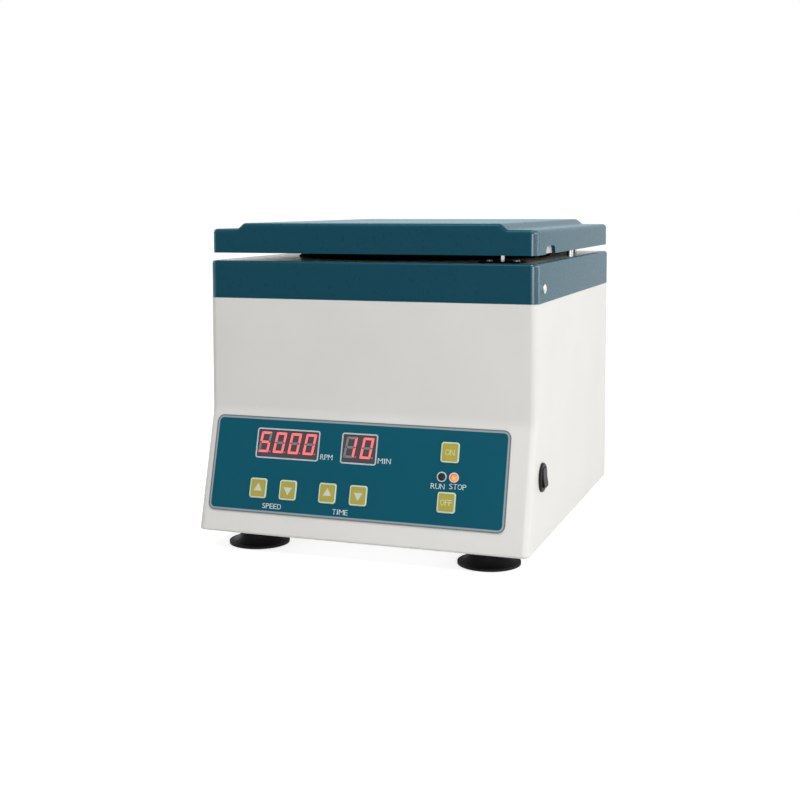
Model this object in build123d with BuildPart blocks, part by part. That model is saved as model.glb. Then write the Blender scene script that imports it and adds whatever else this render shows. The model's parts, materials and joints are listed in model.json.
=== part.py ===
from build123d import *
import os
from math import atan2, cos, radians, sin

os.makedirs("parts", exist_ok=True)

# Bench centrifuge for two microplates. Millimetres, X to the right, Y to the back, Z up.
# The origin is the centre of the outline on the bench.

# ------------------------------------------------------------------ driving dimensions
# cabinet
body_width = 280.0
body_depth = 295.0  # at the collar, front face to back face
body_height = 191.0  # housing, bottom edge to collar
slope_height = 97.0  # height of the sloping control front
front_reach = 27.2  # how far the sloping front stands out at its foot
corner_radius = 6.0
kink_radius = 30.0  # where the upright front turns into the slope
foot_edge_radius = 1.8  # rounding of the housing's lower edge
seam_edge_radius = 0.8  # and of its upper edge, under the collar
wall = 3.0
seam = 0.4  # gap left between shells that slip into each other
lip_wall = 2.5
lip_height = 16.0
lip_root = 6.0
near = 0.01  # how close two places count as the same

# collar and deck
collar_height = 30.7
collar_edge_radius = 2.4
rim_width = 5.0
ledge_width = 3.0
ledge_thickness = 3.0
deck_thickness = 2.5
collar_screw_setback = 18.0  # from the upright front face
collar_screw_rise = 11.0  # above the collar's lower edge

# lid
lid_gap = 6.4
lid_inset = 1.0
lid_skirt = 19.8
lid_crown = 4.8  # height of the raised panel on the lid's top
crown_shoulder = 24.0  # from the lid's side to the foot of the crown
crown_ramp = 5.6
lid_wall = 2.5
lid_edge_radius = 3.5
notch_setback = 47.5  # centre of the finger notch in the right skirt
notch_length = 33.0
notch_height = 6.5
notch_radius = 6.2
liner_thickness = 2.0
liner_wall = 1.5
liner_height = 12.0
liner_lift = 0.3  # the liner's face above the skirt's edge
dish_radius = 95.0
dish_depth = 6.0
rib_thickness = 2.0
post_inset_x = 11.0  # rest posts, from the sides
post_setback = 168.0  # and from the upright front face
post_radius = 3.0

# hinges at the back
knuckle_radius = 4.0
hinge_pin_radius = 2.0
leaf_thickness = 2.0
leaf_width = 45.0
leaf_height = 20.0
hinge_spacing = 170.0  # between the two hinges' centres
knuckle_gap = 0.4
hinge_screw_radius = 1.8
hinge_screw_spacing = 28.0

# chamber
chamber_setback = 147.3  # from the upright front face to the rotor's axis
bowl_radius = 103.0
bowl_depth = 118.7
bowl_wall = 1.0
bowl_corner = 14.0
bowl_flange = 5.0
drain_radius = 22.0  # hole in the bowl's floor
gasket_width = 7.0
gasket_foot = 2.0
gasket_gap = 0.4

# rotor for two upright plates
rotor_clearance = 5.0  # between rotor and bowl
rotor_lift = 6.0  # rotor's disc above the bowl's floor
rotor_disc = 4.0
rim_chamfer = 1.0
gusset_width = 3.0
gusset_reach = 48.0  # from the axis
gusset_height = 17.0
holder_height = 86.0  # above the disc
holder_wall = 2.0
holder_corner = 2.5
holder_pegs = 100.0  # between a holder's two rivets
holder_peg_radius = 2.5
plate_length = 129.0  # pocket for a 127.8 x 85.5 x 14.4 plate
plate_pocket = 16.0
pocket_inset = 36.0  # from the disc's edge in to the pocket's middle
grip_width = 52.0
grip_depth = 34.0
hub_base_radius = 16.0
hub_top_radius = 11.0
hub_height = 26.0
hub_flange_radius = 20.0
hub_flange = 3.0
boss_wall = 4.0
nut_radius = 15.0
nut_height = 16.0
nut_grips = 6
nut_grip_radius = 5.0
nut_grip_circle = 17.0
nut_edge = 1.5
nut_cap = 3.0  # solid end above the shaft

# motor
shaft_radius = 6.0
running_gap = 0.04
bearing_radius = 14.0
bearing_width = 8.0
bearing_wall = 3.0  # of the boss round the lower bearing
motor_radius = 42.0
motor_height = 52.0
motor_wall = 2.5
motor_floor = 3.0
end_bell_height = 6.0
core_radius = 23.0
core_height = 30.0
air_gap = 0.7
stator_slots = 12
motor_plate_thickness = 3.0
damper_height = 15.0
damper_radius = 10.0
damper_reach = 60.0  # from the motor's axis
stud_radius = 3.0
stud_nut_radius = 5.4
nut_thickness = 4.0
motor_plate_margin = 3.0  # around the dampers
motor_plate_shoulder = 2.0  # around the motor
dampers = 3

# feet and base
foot_height = 15.0
foot_radius = 25.2
foot_top_radius = 15.0
foot_inset = 40.0  # foot centre from the cabinet's side
foot_setback = 34.2  # foot centre from the front and back edges
foot_bolt_radius = 3.0
base_thickness = 2.0
base_boss_radius = 5.0
base_boss_height = 24.0
base_boss_inset = 22.0

# control front: heights are measured down the slope from the kink, speed and time controls
# from the label's left edge, power controls from its right edge
label_left_margin = 7.5
label_right_margin = 19.7
label_top = 4.2
label_bottom = 83.0
label_radius = 6.0
label_thickness = 0.6
window_height = 23.1
window_drop = 25.8
speed_window_width = 54.3
speed_window_offset = 65.9
time_window_width = 29.3
time_window_offset = 128.5
key_width = 15.0
key_height = 16.1
key_radius = 2.2
key_row_drop = 62.8
key_pitch = 26.5
speed_keys_offset = 56.9
time_keys_offset = 118.1
power_keys_offset = 48.1
on_key_drop = 23.9
key_stand = 0.5  # key's face above the label
key_travel = 0.8
key_gap = 0.3
key_flange = 1.5
lamp_offset = 48.3
lamp_pitch = 10.0
lamp_drop = 43.2
lamp_radius = 3.0
lamp_ring_radius = 3.95
board_depth = 9.0  # board's face behind the slope's inner face
board_margin = 7.0  # label's edge to board's edge
board_thickness = 1.6

# power switch in the right side
switch_setback = 16.0
switch_rise = 54.5  # above the housing's lower edge
switch_bezel_radius = 11.5
switch_body_radius = 10.0
switch_bezel_height = 2.0
switch_body_depth = 20.0
rocker_length = 15.2
rocker_width = 12.0
rocker_crest = 2.9
rocker_angle = 6.0
rocker_gap = 0.4

# power inlet in the back
inlet_side_gap = 48.0  # from the left side to the inlet's middle
inlet_rise = 42.0
inlet_width = 27.0
inlet_height = 19.8
inlet_depth = 22.0
inlet_flange = 2.5
inlet_flange_width = 48.0
inlet_flange_height = 23.8
inlet_flange_radius = 3.0
inlet_screw_inset = 4.0
socket_width = 24.4
socket_height = 16.6
socket_depth = 16.5

# lid lock
striker_inset = 33.0  # from the right side
striker_setback = 20.0
striker_thickness = 2.0
striker_width = 10.0
striker_neck = 3.0  # its width where it shows between lid and deck
striker_reach = 18.0  # below the deck
striker_side_room = 2.0
striker_end_room = 3.0
bolt_radius = 2.2
bolt_travel = 9.0
lock_plate_width = 34.0
lock_plate_depth = 24.0
lock_plate_thickness = 1.2
lock_screw_pitch = 22.0
lock_reach = 38.0  # lock body, to the left of the striker
lock_heel = 15.0  # and to its right
lock_width = 20.0
lock_height = 17.0

# ------------------------------------------------------------------ derived places
housing_bottom = foot_height
kink_z = housing_bottom + slope_height
collar_bottom = housing_bottom + body_height
deck_top = collar_bottom + collar_height
deck_bottom = deck_top - deck_thickness
lid_bottom = deck_top + lid_gap
lid_shoulder = lid_bottom + lid_skirt
lid_top = lid_shoulder + lid_crown
liner_bottom = lid_bottom + liner_lift

hinge_offset = knuckle_radius + knuckle_gap
hinge_reach = hinge_offset + knuckle_radius
front_y = (front_reach - body_depth - hinge_reach) / 2
rear_y = front_y + body_depth
middle_y = (front_y + rear_y) / 2
side_x = body_width / 2
axis_y = front_y + chamber_setback
hinge_y = rear_y + hinge_offset
hinge_z = deck_top + lid_gap / 2

slope_angle = atan2(front_reach, slope_height)
slope = Plane(origin=(0, front_y, kink_z), x_dir=(1, 0, 0), z_dir=(0, -slope_height, front_reach))
board_face = -(wall + board_depth)
label_left = label_left_margin - side_x
label_right = side_x - label_right_margin
speed_keys_x = label_left + speed_keys_offset
time_keys_x = label_left + time_keys_offset
power_keys_x = label_right - power_keys_offset
lamp_x = label_right - lamp_offset
striker_x = side_x - striker_inset
inlet_x = inlet_side_gap - side_x

bowl_floor = deck_top - bowl_depth
rotor_bottom = bowl_floor + rotor_lift
rotor_radius = bowl_radius - rotor_clearance
pocket_radius = rotor_radius - pocket_inset
disc_top = rotor_bottom + rotor_disc
plate_floor = disc_top + holder_wall
hub_bottom = rotor_bottom - hub_flange
base_top = housing_bottom + base_thickness
motor_plate_z = base_top + damper_height
motor_bottom = motor_plate_z + motor_plate_thickness
motor_top = motor_bottom + motor_height
axis_plane = Plane(origin=(0, axis_y, 0), x_dir=(1, 0, 0), z_dir=(0, -1, 0))
rotor_axis = Axis((0, axis_y, 0), (0, 0, 1))
head_ratio = 1.9  # screw head to shank

leaf_screw_drop = leaf_height * 0.62
hinge_places = (-hinge_spacing / 2, hinge_spacing / 2)

keys = {
    "speed_up_key": (speed_keys_x - key_pitch / 2, key_row_drop),
    "speed_down_key": (speed_keys_x + key_pitch / 2, key_row_drop),
    "time_up_key": (time_keys_x - key_pitch / 2, key_row_drop),
    "time_down_key": (time_keys_x + key_pitch / 2, key_row_drop),
    "on_key": (power_keys_x, on_key_drop),
    "off_key": (power_keys_x, key_row_drop),
}
windows = {
    "speed_display": (label_left + speed_window_offset, speed_window_width),
    "time_display": (label_left + time_window_offset, time_window_width),
}
lamps = {"run_lamp": lamp_x - lamp_pitch / 2, "stop_lamp": lamp_x + lamp_pitch / 2}


def slope_y(z):
    """Y of the sloping front's outer face at a height."""
    return front_y - front_reach * (kink_z - z) / slope_height


def side_face(over, inset):
    """Side outline of the housing, run over at top and bottom and drawn in by a wall."""
    with BuildSketch(Plane.YZ) as outline:
        with BuildLine():
            Polyline(
                (front_y, collar_bottom + over),
                (front_y, kink_z),
                (slope_y(housing_bottom - over), housing_bottom - over),
                (rear_y, housing_bottom - over),
                (rear_y, collar_bottom + over),
                close=True,
            )
        make_face()
        fillet(outline.vertices().sort_by_distance((front_y, kink_z, 0))[0], kink_radius)
        if inset:
            offset(amount=-inset, kind=Kind.INTERSECTION)
    return outline.sketch


def side_body(over, inset):
    """The housing's outside, or with an inset its hollow, with rounded upright corners."""
    half_width = side_x - inset
    with BuildPart(mode=Mode.PRIVATE) as body:
        extrude(side_face(over, inset), amount=half_width, both=True)
        fillet(
            body.edges().filter_by(
                lambda edge: abs(abs(edge.center().X) - half_width) < near
                and housing_bottom < edge.center().Z < collar_bottom
            ),
            corner_radius - inset,
        )
    return body.part


def box_sketch(plane, inset, radius):
    """Rounded rectangle of the cabinet's plan, drawn in by an inset."""
    with BuildSketch(plane) as plan:
        with Locations((0, middle_y)):
            RectangleRounded(body_width - 2 * inset, body_depth - 2 * inset, radius)
    return plan.sketch


def ring_of(plane, outer_inset, inner_inset, radius):
    """Frame between two rounded rectangles of the cabinet's plan."""
    with BuildSketch(plane) as plan:
        with Locations((0, middle_y)):
            RectangleRounded(body_width - 2 * outer_inset, body_depth - 2 * outer_inset, radius)
            RectangleRounded(
                body_width - 2 * inner_inset, body_depth - 2 * inner_inset, radius, mode=Mode.SUBTRACT
            )
    return plan.sketch


def hinge_screw_holes(plane, direction):
    """Holes of both hinges' screws on the back, below (-1) or above (1) the gap."""
    with BuildSketch(plane) as holes:
        with Locations(*[(x, hinge_z + direction * leaf_screw_drop) for x in hinge_places]):
            with GridLocations(hinge_screw_spacing, 1, 2, 1):
                Circle(hinge_screw_radius)
    return holes.sketch


def outline(plane, *points):
    """Closed face with straight sides on a plane."""
    with BuildSketch(plane) as face:
        with BuildLine():
            Polyline(*points, close=True)
        make_face()
    return face.sketch


def screw(plane, radius, length):
    """Pan-head screw: its head stands on the plane and its shank runs below it."""
    with BuildPart(mode=Mode.PRIVATE) as body:
        with BuildSketch(plane):
            Circle(head_ratio * radius)
        extrude(amount=radius)
        fillet(body.edges().sort_by(Axis(plane.origin, plane.z_dir))[-1], radius * 0.6)
        with BuildSketch(plane):
            Circle(radius)
        extrude(amount=-length)
    return body.part


# ------------------------------------------------------------------ housing
boss_x = side_x - wall - base_boss_inset / 2
boss_front_y = front_y + base_boss_inset / 2
boss_rear_y = rear_y - wall - base_boss_inset
boss_places = [(sx * boss_x, y) for sx in (-1, 1) for y in (boss_front_y, boss_rear_y)]
boss_screw_radius = 1.7
vent_width = 3.0
vent_pitch = 8.0
grille_width = 150.0
grille_height = 54.0
grille_rise = 118.0  # above the housing's lower edge
grille_lip = 4.0
grille_stand = 1.5
switch_y = front_y + switch_setback
switch_z = housing_bottom + switch_rise
inlet_z = housing_bottom + inlet_rise
grille_z = housing_bottom + grille_rise
inlet_screw_pitch = inlet_flange_width - 2 * inlet_screw_inset
inlet_screw_radius = 1.6
collar_screw_y = front_y + collar_screw_setback
collar_screw_z = collar_bottom + collar_screw_rise
collar_screw_radius = 2.0

with BuildPart() as housing:
    add(side_body(0, 0))
    fillet(housing.faces().sort_by(Axis.Z)[0].edges(), foot_edge_radius)
    fillet(housing.faces().sort_by(Axis.Z)[-1].edges(), seam_edge_radius)
    add(side_body(2 * wall, wall), mode=Mode.SUBTRACT)
    # lip that the collar slips over
    lip_plane = Plane.XY.offset(collar_bottom - lip_root)
    extrude(ring_of(lip_plane, wall, wall + seam + lip_wall, corner_radius - wall), amount=lip_root)
    extrude(
        ring_of(lip_plane, wall + seam, wall + seam + lip_wall, corner_radius - wall),
        amount=lip_root + lip_height,
    )
    # bosses for the base plate, each with a web to the side wall
    with BuildSketch(Plane.XY.offset(base_top)):
        with Locations(*boss_places):
            Circle(base_boss_radius)
        for side in (-1, 1):
            with Locations(*[(side * (boss_x + side_x - wall) / 2, y) for y in (boss_front_y, boss_rear_y)]):
                Rectangle(side_x - wall - boss_x, rib_thickness)
    extrude(amount=base_boss_height)
    with BuildSketch(Plane.XY.offset(base_top)):
        with Locations(*boss_places):
            Circle(boss_screw_radius)
    extrude(amount=base_boss_height - wall, mode=Mode.SUBTRACT)
    # openings of the control front
    with BuildSketch(slope.offset(wall)):
        for x, drop in keys.values():
            with Locations((x, -drop)):
                RectangleRounded(key_width + 2 * key_gap, key_height + 2 * key_gap, key_radius)
        for x, width in windows.values():
            with Locations((x, -window_drop)):
                Rectangle(width, window_height)
        with Locations(*[(x, -lamp_drop) for x in lamps.values()]):
            Circle(lamp_radius)
    extrude(amount=-3 * wall, mode=Mode.SUBTRACT)
    # round hole of the power switch, in the right side
    with BuildSketch(Plane.YZ.offset(side_x + wall)):
        with Locations((switch_y, switch_z)):
            Circle(switch_body_radius)
    extrude(amount=-3 * wall, mode=Mode.SUBTRACT)
    # inlet cut-out with its screw holes and the grille's opening, in the back
    with BuildSketch(Plane.XZ.offset(-rear_y - wall)):
        with Locations((inlet_x, inlet_z)):
            Rectangle(inlet_width, inlet_height)
            with GridLocations(inlet_screw_pitch, 1, 2, 1):
                Circle(inlet_screw_radius)
        with Locations((0, grille_z)):
            Rectangle(grille_width, grille_height)
    extrude(amount=3 * wall, mode=Mode.SUBTRACT)
    # holes that the collar's side screws thread into
    for side in (-1, 1):
        with BuildSketch(Plane.YZ.offset(side * side_x)):
            with Locations((collar_screw_y, collar_screw_z)):
                Circle(collar_screw_radius)
        extrude(amount=-side * 4 * wall, mode=Mode.SUBTRACT)

# ------------------------------------------------------------------ rear grille
slat_rows = 6
slat_spacing = 72.0
slat_length = 62.0

with BuildPart() as rear_grille:
    with BuildSketch(Plane.XZ.offset(-rear_y - grille_stand)):
        with Locations((0, grille_z)):
            RectangleRounded(grille_width + 2 * grille_lip, grille_height + 2 * grille_lip, grille_lip)
    extrude(amount=grille_stand)
    with BuildSketch(Plane.XZ.offset(-rear_y)):
        with Locations((0, grille_z)):
            Rectangle(grille_width, grille_height)
    extrude(amount=wall)
    chamfer(rear_grille.faces().sort_by(Axis.Y)[-1].edges(), grille_stand / 2)
    with BuildSketch(Plane.XZ.offset(-rear_y - grille_stand)):
        with Locations((0, grille_z)):
            with GridLocations(slat_spacing, vent_pitch, 2, slat_rows):
                SlotOverall(slat_length, vent_width)
    extrude(amount=grille_stand + wall, mode=Mode.SUBTRACT)

# ------------------------------------------------------------------ base plate
base_front_y = slope_y(base_top) + wall / cos(slope_angle) + seam
base_rear_y = rear_y - wall - seam
base_half = side_x - wall - seam
base_flange_height = 14.0
base_vent_length = 40.0
base_vent_rows = 5
foot_x = side_x - foot_inset
foot_front_y = slope_y(housing_bottom) + foot_setback
foot_rear_y = rear_y - foot_setback
foot_places = {
    "foot_front_left": (-foot_x, foot_front_y),
    "foot_front_right": (foot_x, foot_front_y),
    "foot_rear_left": (-foot_x, foot_rear_y),
    "foot_rear_right": (foot_x, foot_rear_y),
}
damper_start = 90.0

with BuildPart() as base_plate:
    with BuildSketch(Plane.XY.offset(housing_bottom)):
        with Locations((0, (base_front_y + base_rear_y) / 2)):
            RectangleRounded(2 * base_half, base_rear_y - base_front_y, corner_radius - wall)
    extrude(amount=base_thickness)
    with BuildSketch(Plane.XY.offset(housing_bottom)):
        with Locations((0, base_rear_y - base_thickness / 2)):
            Rectangle(2 * (boss_x - base_boss_radius), base_thickness)
    extrude(amount=base_flange_height)
    with BuildSketch(Plane.XY.offset(housing_bottom)):
        with Locations(*foot_places.values()):
            Circle(foot_bolt_radius)
        with Locations(*boss_places):
            Circle(boss_screw_radius)
        with Locations((0, axis_y)):
            with PolarLocations(damper_reach, dampers, start_angle=damper_start):
                Circle(stud_radius)
            with GridLocations(1, vent_pitch, 1, base_vent_rows):
                SlotOverall(base_vent_length, vent_width)
    extrude(amount=base_thickness, both=True, mode=Mode.SUBTRACT)

base_screw_set = [
    screw(Plane(origin=(x, y, housing_bottom), z_dir=(0, 0, -1)), boss_screw_radius, base_boss_height / 2)
    for x, y in boss_places
]
with BuildPart() as base_screws:
    add(base_screw_set)

# ------------------------------------------------------------------ feet
cup_depth = 6.0
cup_rim = 2.0
cup_crown = 0.72  # share of the cup's depth half-way to its middle
cup_gap = 1.0
foot_neck = 3.0
bolt_head_radius = 5.4
bolt_head_height = 4.0
bolt_end = 2.0

feet = {}
for name, (x, y) in foot_places.items():
    with BuildPart() as foot:
        with BuildSketch(Plane(origin=(x, y, 0), x_dir=(1, 0, 0), z_dir=(0, -1, 0))):
            with BuildLine():
                Polyline(
                    (foot_bolt_radius, cup_depth),
                    (foot_bolt_radius, foot_height),
                    (foot_top_radius, foot_height),
                    (foot_top_radius, foot_height - foot_neck),
                )
                TangentArc(
                    (foot_top_radius, foot_height - foot_neck), (foot_radius, cup_rim), tangent=(0, -1)
                )
                Polyline((foot_radius, cup_rim), (foot_radius, 0), (foot_radius - cup_rim, 0))
                ThreePointArc(
                    (foot_radius - cup_rim, 0),
                    ((foot_radius + bolt_head_radius) / 2, cup_depth * cup_crown),
                    (bolt_head_radius + cup_gap, cup_depth),
                )
                Line((bolt_head_radius + cup_gap, cup_depth), (foot_bolt_radius, cup_depth))
            make_face()
        revolve(axis=Axis((x, y, 0), (0, 0, 1)))
    feet[name] = foot

with BuildPart() as foot_bolts:
    with BuildSketch(Plane.XY.offset(cup_depth)):
        with Locations(*foot_places.values()):
            RegularPolygon(bolt_head_radius, 6)
    extrude(amount=-bolt_head_height)
    with BuildSketch(Plane.XY.offset(cup_depth)):
        with Locations(*foot_places.values()):
            Circle(foot_bolt_radius)
    extrude(amount=base_top + nut_thickness + bolt_end - cup_depth)
    with BuildSketch(Plane.XY.offset(base_top)):
        with Locations(*foot_places.values()):
            RegularPolygon(bolt_head_radius, 6)
    extrude(amount=nut_thickness)

# ------------------------------------------------------------------ collar and deck
deck_seam = 0.2
chamber_hole_gap = 0.5
cavity_radius = corner_radius - wall
screw_gap = 0.15
striker_y = front_y + striker_setback
striker_slot = (striker_thickness + 2 * striker_side_room, striker_width + 2 * striker_end_room)
lock_screw_radius = 1.5
post_x = side_x - post_inset_x
post_peg_radius = 2.0
post_places = [(side * post_x, front_y + post_setback) for side in (-1, 1)]

with BuildPart() as top_collar:
    extrude(box_sketch(Plane.XY.offset(collar_bottom), 0, corner_radius), amount=collar_height)
    fillet(top_collar.faces().sort_by(Axis.Z)[-1].edges(), collar_edge_radius)
    extrude(
        box_sketch(Plane.XY.offset(collar_bottom), wall, cavity_radius),
        amount=collar_height - deck_thickness - ledge_thickness,
        mode=Mode.SUBTRACT,
    )
    extrude(
        box_sketch(Plane.XY.offset(collar_bottom), rim_width + ledge_width, cavity_radius),
        amount=collar_height,
        mode=Mode.SUBTRACT,
    )
    extrude(
        box_sketch(Plane.XY.offset(deck_bottom), rim_width, cavity_radius),
        amount=deck_thickness,
        mode=Mode.SUBTRACT,
    )
    for side in (-1, 1):
        with BuildSketch(Plane.YZ.offset(side * side_x)):
            with Locations((collar_screw_y, collar_screw_z)):
                Circle(collar_screw_radius + screw_gap)
        extrude(amount=wall, both=True, mode=Mode.SUBTRACT)
    extrude(hinge_screw_holes(Plane.XZ.offset(-rear_y), -1), amount=wall, mode=Mode.SUBTRACT)

collar_screw_set = [
    screw(
        Plane(origin=(side * side_x, collar_screw_y, collar_screw_z), z_dir=(side, 0, 0)),
        collar_screw_radius,
        2 * wall + seam + lip_wall,
    )
    for side in (-1, 1)
]
with BuildPart() as collar_screws:
    add(collar_screw_set)

with BuildPart() as deck_plate:
    extrude(
        box_sketch(Plane.XY.offset(deck_bottom), rim_width + deck_seam, cavity_radius),
        amount=deck_thickness,
    )
    with BuildSketch(Plane.XY.offset(deck_bottom)):
        with Locations((0, axis_y)):
            Circle(bowl_radius + bowl_wall + chamber_hole_gap)
        with Locations((striker_x, striker_y)):
            Rectangle(*striker_slot)
            with GridLocations(lock_screw_pitch, 1, 2, 1):
                Circle(lock_screw_radius + screw_gap)
        with Locations(*post_places):
            Circle(post_peg_radius)
    extrude(amount=deck_thickness, mode=Mode.SUBTRACT)

with BuildPart() as rest_posts:
    for height, radius in (
        (-deck_thickness, post_peg_radius),
        (lid_gap + liner_lift - gasket_gap, post_radius),
    ):
        with BuildSketch(Plane.XY.offset(deck_top)):
            with Locations(*post_places):
                Circle(radius)
        extrude(amount=height)

# ------------------------------------------------------------------ chamber
boot_lip = 3.0
boot_skin = 1.5
boot_drop = 8.0
boot_gap = 0.6
bowl_outer = bowl_radius + bowl_wall
under_floor = bowl_floor - bowl_wall

with BuildPart() as chamber_bowl:
    with BuildSketch(axis_plane) as bowl_section:
        with BuildLine():
            Polyline(
                (drain_radius, under_floor),
                (bowl_outer, under_floor),
                (bowl_outer, deck_top),
                (bowl_outer + bowl_flange, deck_top),
                (bowl_outer + bowl_flange, deck_top + bowl_wall),
                (bowl_radius, deck_top + bowl_wall),
                (bowl_radius, bowl_floor),
                (drain_radius, bowl_floor),
                close=True,
            )
        make_face()
        fillet(bowl_section.vertices().sort_by_distance((bowl_outer, under_floor, 0))[0], bowl_corner)
        fillet(
            bowl_section.vertices().sort_by_distance((bowl_radius, bowl_floor, 0))[0],
            bowl_corner - bowl_wall,
        )
    revolve(axis=rotor_axis)

gasket_outer = bowl_outer + gasket_width
gasket_seat = deck_top + bowl_wall
gasket_top = liner_bottom - gasket_gap
with BuildPart() as bowl_gasket:
    with BuildSketch(axis_plane) as gasket_section:
        with BuildLine():
            Polyline(
                (bowl_outer, gasket_seat),
                (bowl_outer + bowl_flange, gasket_seat),
                (bowl_outer + bowl_flange, deck_top),
                (gasket_outer + gasket_foot, deck_top),
                (gasket_outer + gasket_foot, gasket_seat),
                (gasket_outer, gasket_seat + bowl_wall / 2),
                (gasket_outer, gasket_top),
                (bowl_outer, gasket_top),
                close=True,
            )
        make_face()
        fillet(gasket_section.vertices().group_by(Axis.Y)[-1], gasket_width / 5)
    revolve(axis=rotor_axis)

with BuildPart() as shaft_boot:
    revolve(
        outline(
            axis_plane,
            (shaft_radius + boot_gap, bowl_floor - boot_drop),
            (shaft_radius + boot_gap + boot_skin, bowl_floor - boot_drop),
            (shaft_radius + boot_gap + 2 * boot_skin, under_floor - boot_skin),
            (drain_radius + boot_lip, under_floor - boot_skin),
            (drain_radius + boot_lip, under_floor),
            (drain_radius, under_floor),
            (drain_radius, bowl_floor),
            (drain_radius + boot_lip, bowl_floor),
            (drain_radius + boot_lip, bowl_floor + boot_skin),
            (drain_radius - boot_lip, bowl_floor + boot_skin),
            (shaft_radius + boot_gap + 2 * boot_skin, bowl_floor - bowl_wall),
            (shaft_radius + boot_gap, bowl_floor - boot_drop / 2),
        ),
        axis=rotor_axis,
    )

# ------------------------------------------------------------------ motor and its mounting
bearing_boss = bearing_radius + bearing_wall
bell_top = motor_top + end_bell_height
bearing_seat = motor_bottom + motor_floor
stack_middle = (bearing_seat + bearing_width + motor_top) / 2
core_bottom = stack_middle - core_height / 2
stator_outer = motor_radius - motor_wall
stator_inner = core_radius + air_gap
slot_radius = 3.2

with BuildPart() as motor_plate:
    with BuildSketch(Plane(origin=(0, axis_y, motor_plate_z))):
        with PolarLocations(damper_reach, dampers, start_angle=damper_start):
            Circle(damper_radius + motor_plate_margin)
        Circle(motor_radius + motor_plate_shoulder)
        make_hull()
        with PolarLocations(damper_reach, dampers, start_angle=damper_start):
            Circle(stud_radius, mode=Mode.SUBTRACT)
    extrude(amount=motor_plate_thickness)

damper_waist = 2.0
with BuildPart() as damper:
    with BuildSketch(Plane.XZ):
        with BuildLine():
            Polyline(
                (0, base_top - base_thickness - nut_thickness / 2),
                (stud_radius, base_top - base_thickness - nut_thickness / 2),
                (stud_radius, base_top),
                (damper_radius, base_top),
            )
            ThreePointArc(
                (damper_radius, base_top),
                (damper_radius - damper_waist, base_top + damper_height / 2),
                (damper_radius, base_top + damper_height),
            )
            Polyline(
                (damper_radius, base_top + damper_height),
                (stud_radius, base_top + damper_height),
                (stud_radius, motor_bottom),
                (stud_nut_radius, motor_bottom),
                (stud_nut_radius, motor_bottom + nut_thickness),
                (0, motor_bottom + nut_thickness),
                (0, base_top - base_thickness - nut_thickness / 2),
            )
        make_face()
    revolve(axis=Axis.Z)
with BuildPart() as motor_dampers:
    with Locations((0, axis_y, 0)):
        with PolarLocations(damper_reach, dampers, start_angle=damper_start):
            add(damper.part)

with BuildPart() as motor_can:
    revolve(
        outline(
            axis_plane,
            (0, motor_bottom),
            (motor_radius, motor_bottom),
            (motor_radius, motor_top),
            (stator_outer, motor_top),
            (stator_outer, bearing_seat),
            (bearing_boss, bearing_seat),
            (bearing_boss, bearing_seat + bearing_width),
            (bearing_radius, bearing_seat + bearing_width),
            (bearing_radius, bearing_seat),
            (0, bearing_seat),
        ),
        axis=rotor_axis,
    )

bell_spigot = 3.0
bell_vents = 6
bell_vent_length = 10.0
bell_vent_width = 5.0
bell_bore_gap = 2.0
bell_bore = shaft_radius + bell_bore_gap
with BuildPart() as motor_end_bell:
    revolve(
        outline(
            axis_plane,
            (bell_bore, bell_top + wall),
            (bearing_boss, bell_top + wall),
            (bearing_boss, bell_top),
            (motor_radius, bell_top),
            (motor_radius, motor_top),
            (stator_outer, motor_top),
            (stator_outer, motor_top - bell_spigot),
            (stator_outer - bell_spigot, motor_top - bell_spigot),
            (stator_outer - bell_spigot, motor_top),
            (bearing_radius, motor_top),
            (bearing_radius, motor_top + bearing_width),
            (bell_bore, motor_top + bearing_width),
        ),
        axis=rotor_axis,
    )
    with BuildSketch(Plane(origin=(0, axis_y, motor_top))):
        with PolarLocations((bearing_boss + stator_outer) / 2, bell_vents):
            SlotOverall(bell_vent_length, bell_vent_width, rotation=90)
    extrude(amount=end_bell_height, mode=Mode.SUBTRACT)

race = 2.5
groove = 0.8
with BuildPart() as motor_bearings:
    for seat in (bearing_seat, motor_top):
        revolve(
            outline(
                axis_plane,
                (shaft_radius + running_gap, seat),
                (shaft_radius + race, seat),
                (shaft_radius + race, seat + groove),
                (bearing_radius - race, seat + groove),
                (bearing_radius - race, seat),
                (bearing_radius, seat),
                (bearing_radius, seat + bearing_width),
                (bearing_radius - race, seat + bearing_width),
                (bearing_radius - race, seat + bearing_width - groove),
                (shaft_radius + race, seat + bearing_width - groove),
                (shaft_radius + race, seat + bearing_width),
                (shaft_radius + running_gap, seat + bearing_width),
            ),
            axis=rotor_axis,
        )

with BuildPart() as motor_stator:
    with BuildSketch(Plane(origin=(0, axis_y, core_bottom))):
        Circle(stator_outer)
        Circle(stator_inner, mode=Mode.SUBTRACT)
        with PolarLocations(stator_inner + 2 * slot_radius, stator_slots):
            Circle(slot_radius, mode=Mode.SUBTRACT)
            with Locations((-slot_radius, 0)):
                Rectangle(2 * (slot_radius + air_gap), slot_radius / 2, mode=Mode.SUBTRACT)
    extrude(amount=core_height)

# ------------------------------------------------------------------ rotor
cone_bottom = rotor_bottom
cone_top = rotor_bottom + hub_height
shaft_end = nut_height - nut_cap
shaft_chamfer = 1.0

with BuildPart() as motor_shaft:
    revolve(
        outline(
            axis_plane,
            (0, bearing_seat + shaft_chamfer),
            (shaft_radius - shaft_chamfer, bearing_seat + shaft_chamfer),
            (shaft_radius, bearing_seat + 2 * shaft_chamfer),
            (shaft_radius, cone_top + shaft_end - shaft_chamfer),
            (shaft_radius - shaft_chamfer, cone_top + shaft_end),
            (0, cone_top + shaft_end),
        ),
        axis=rotor_axis,
    )

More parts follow.
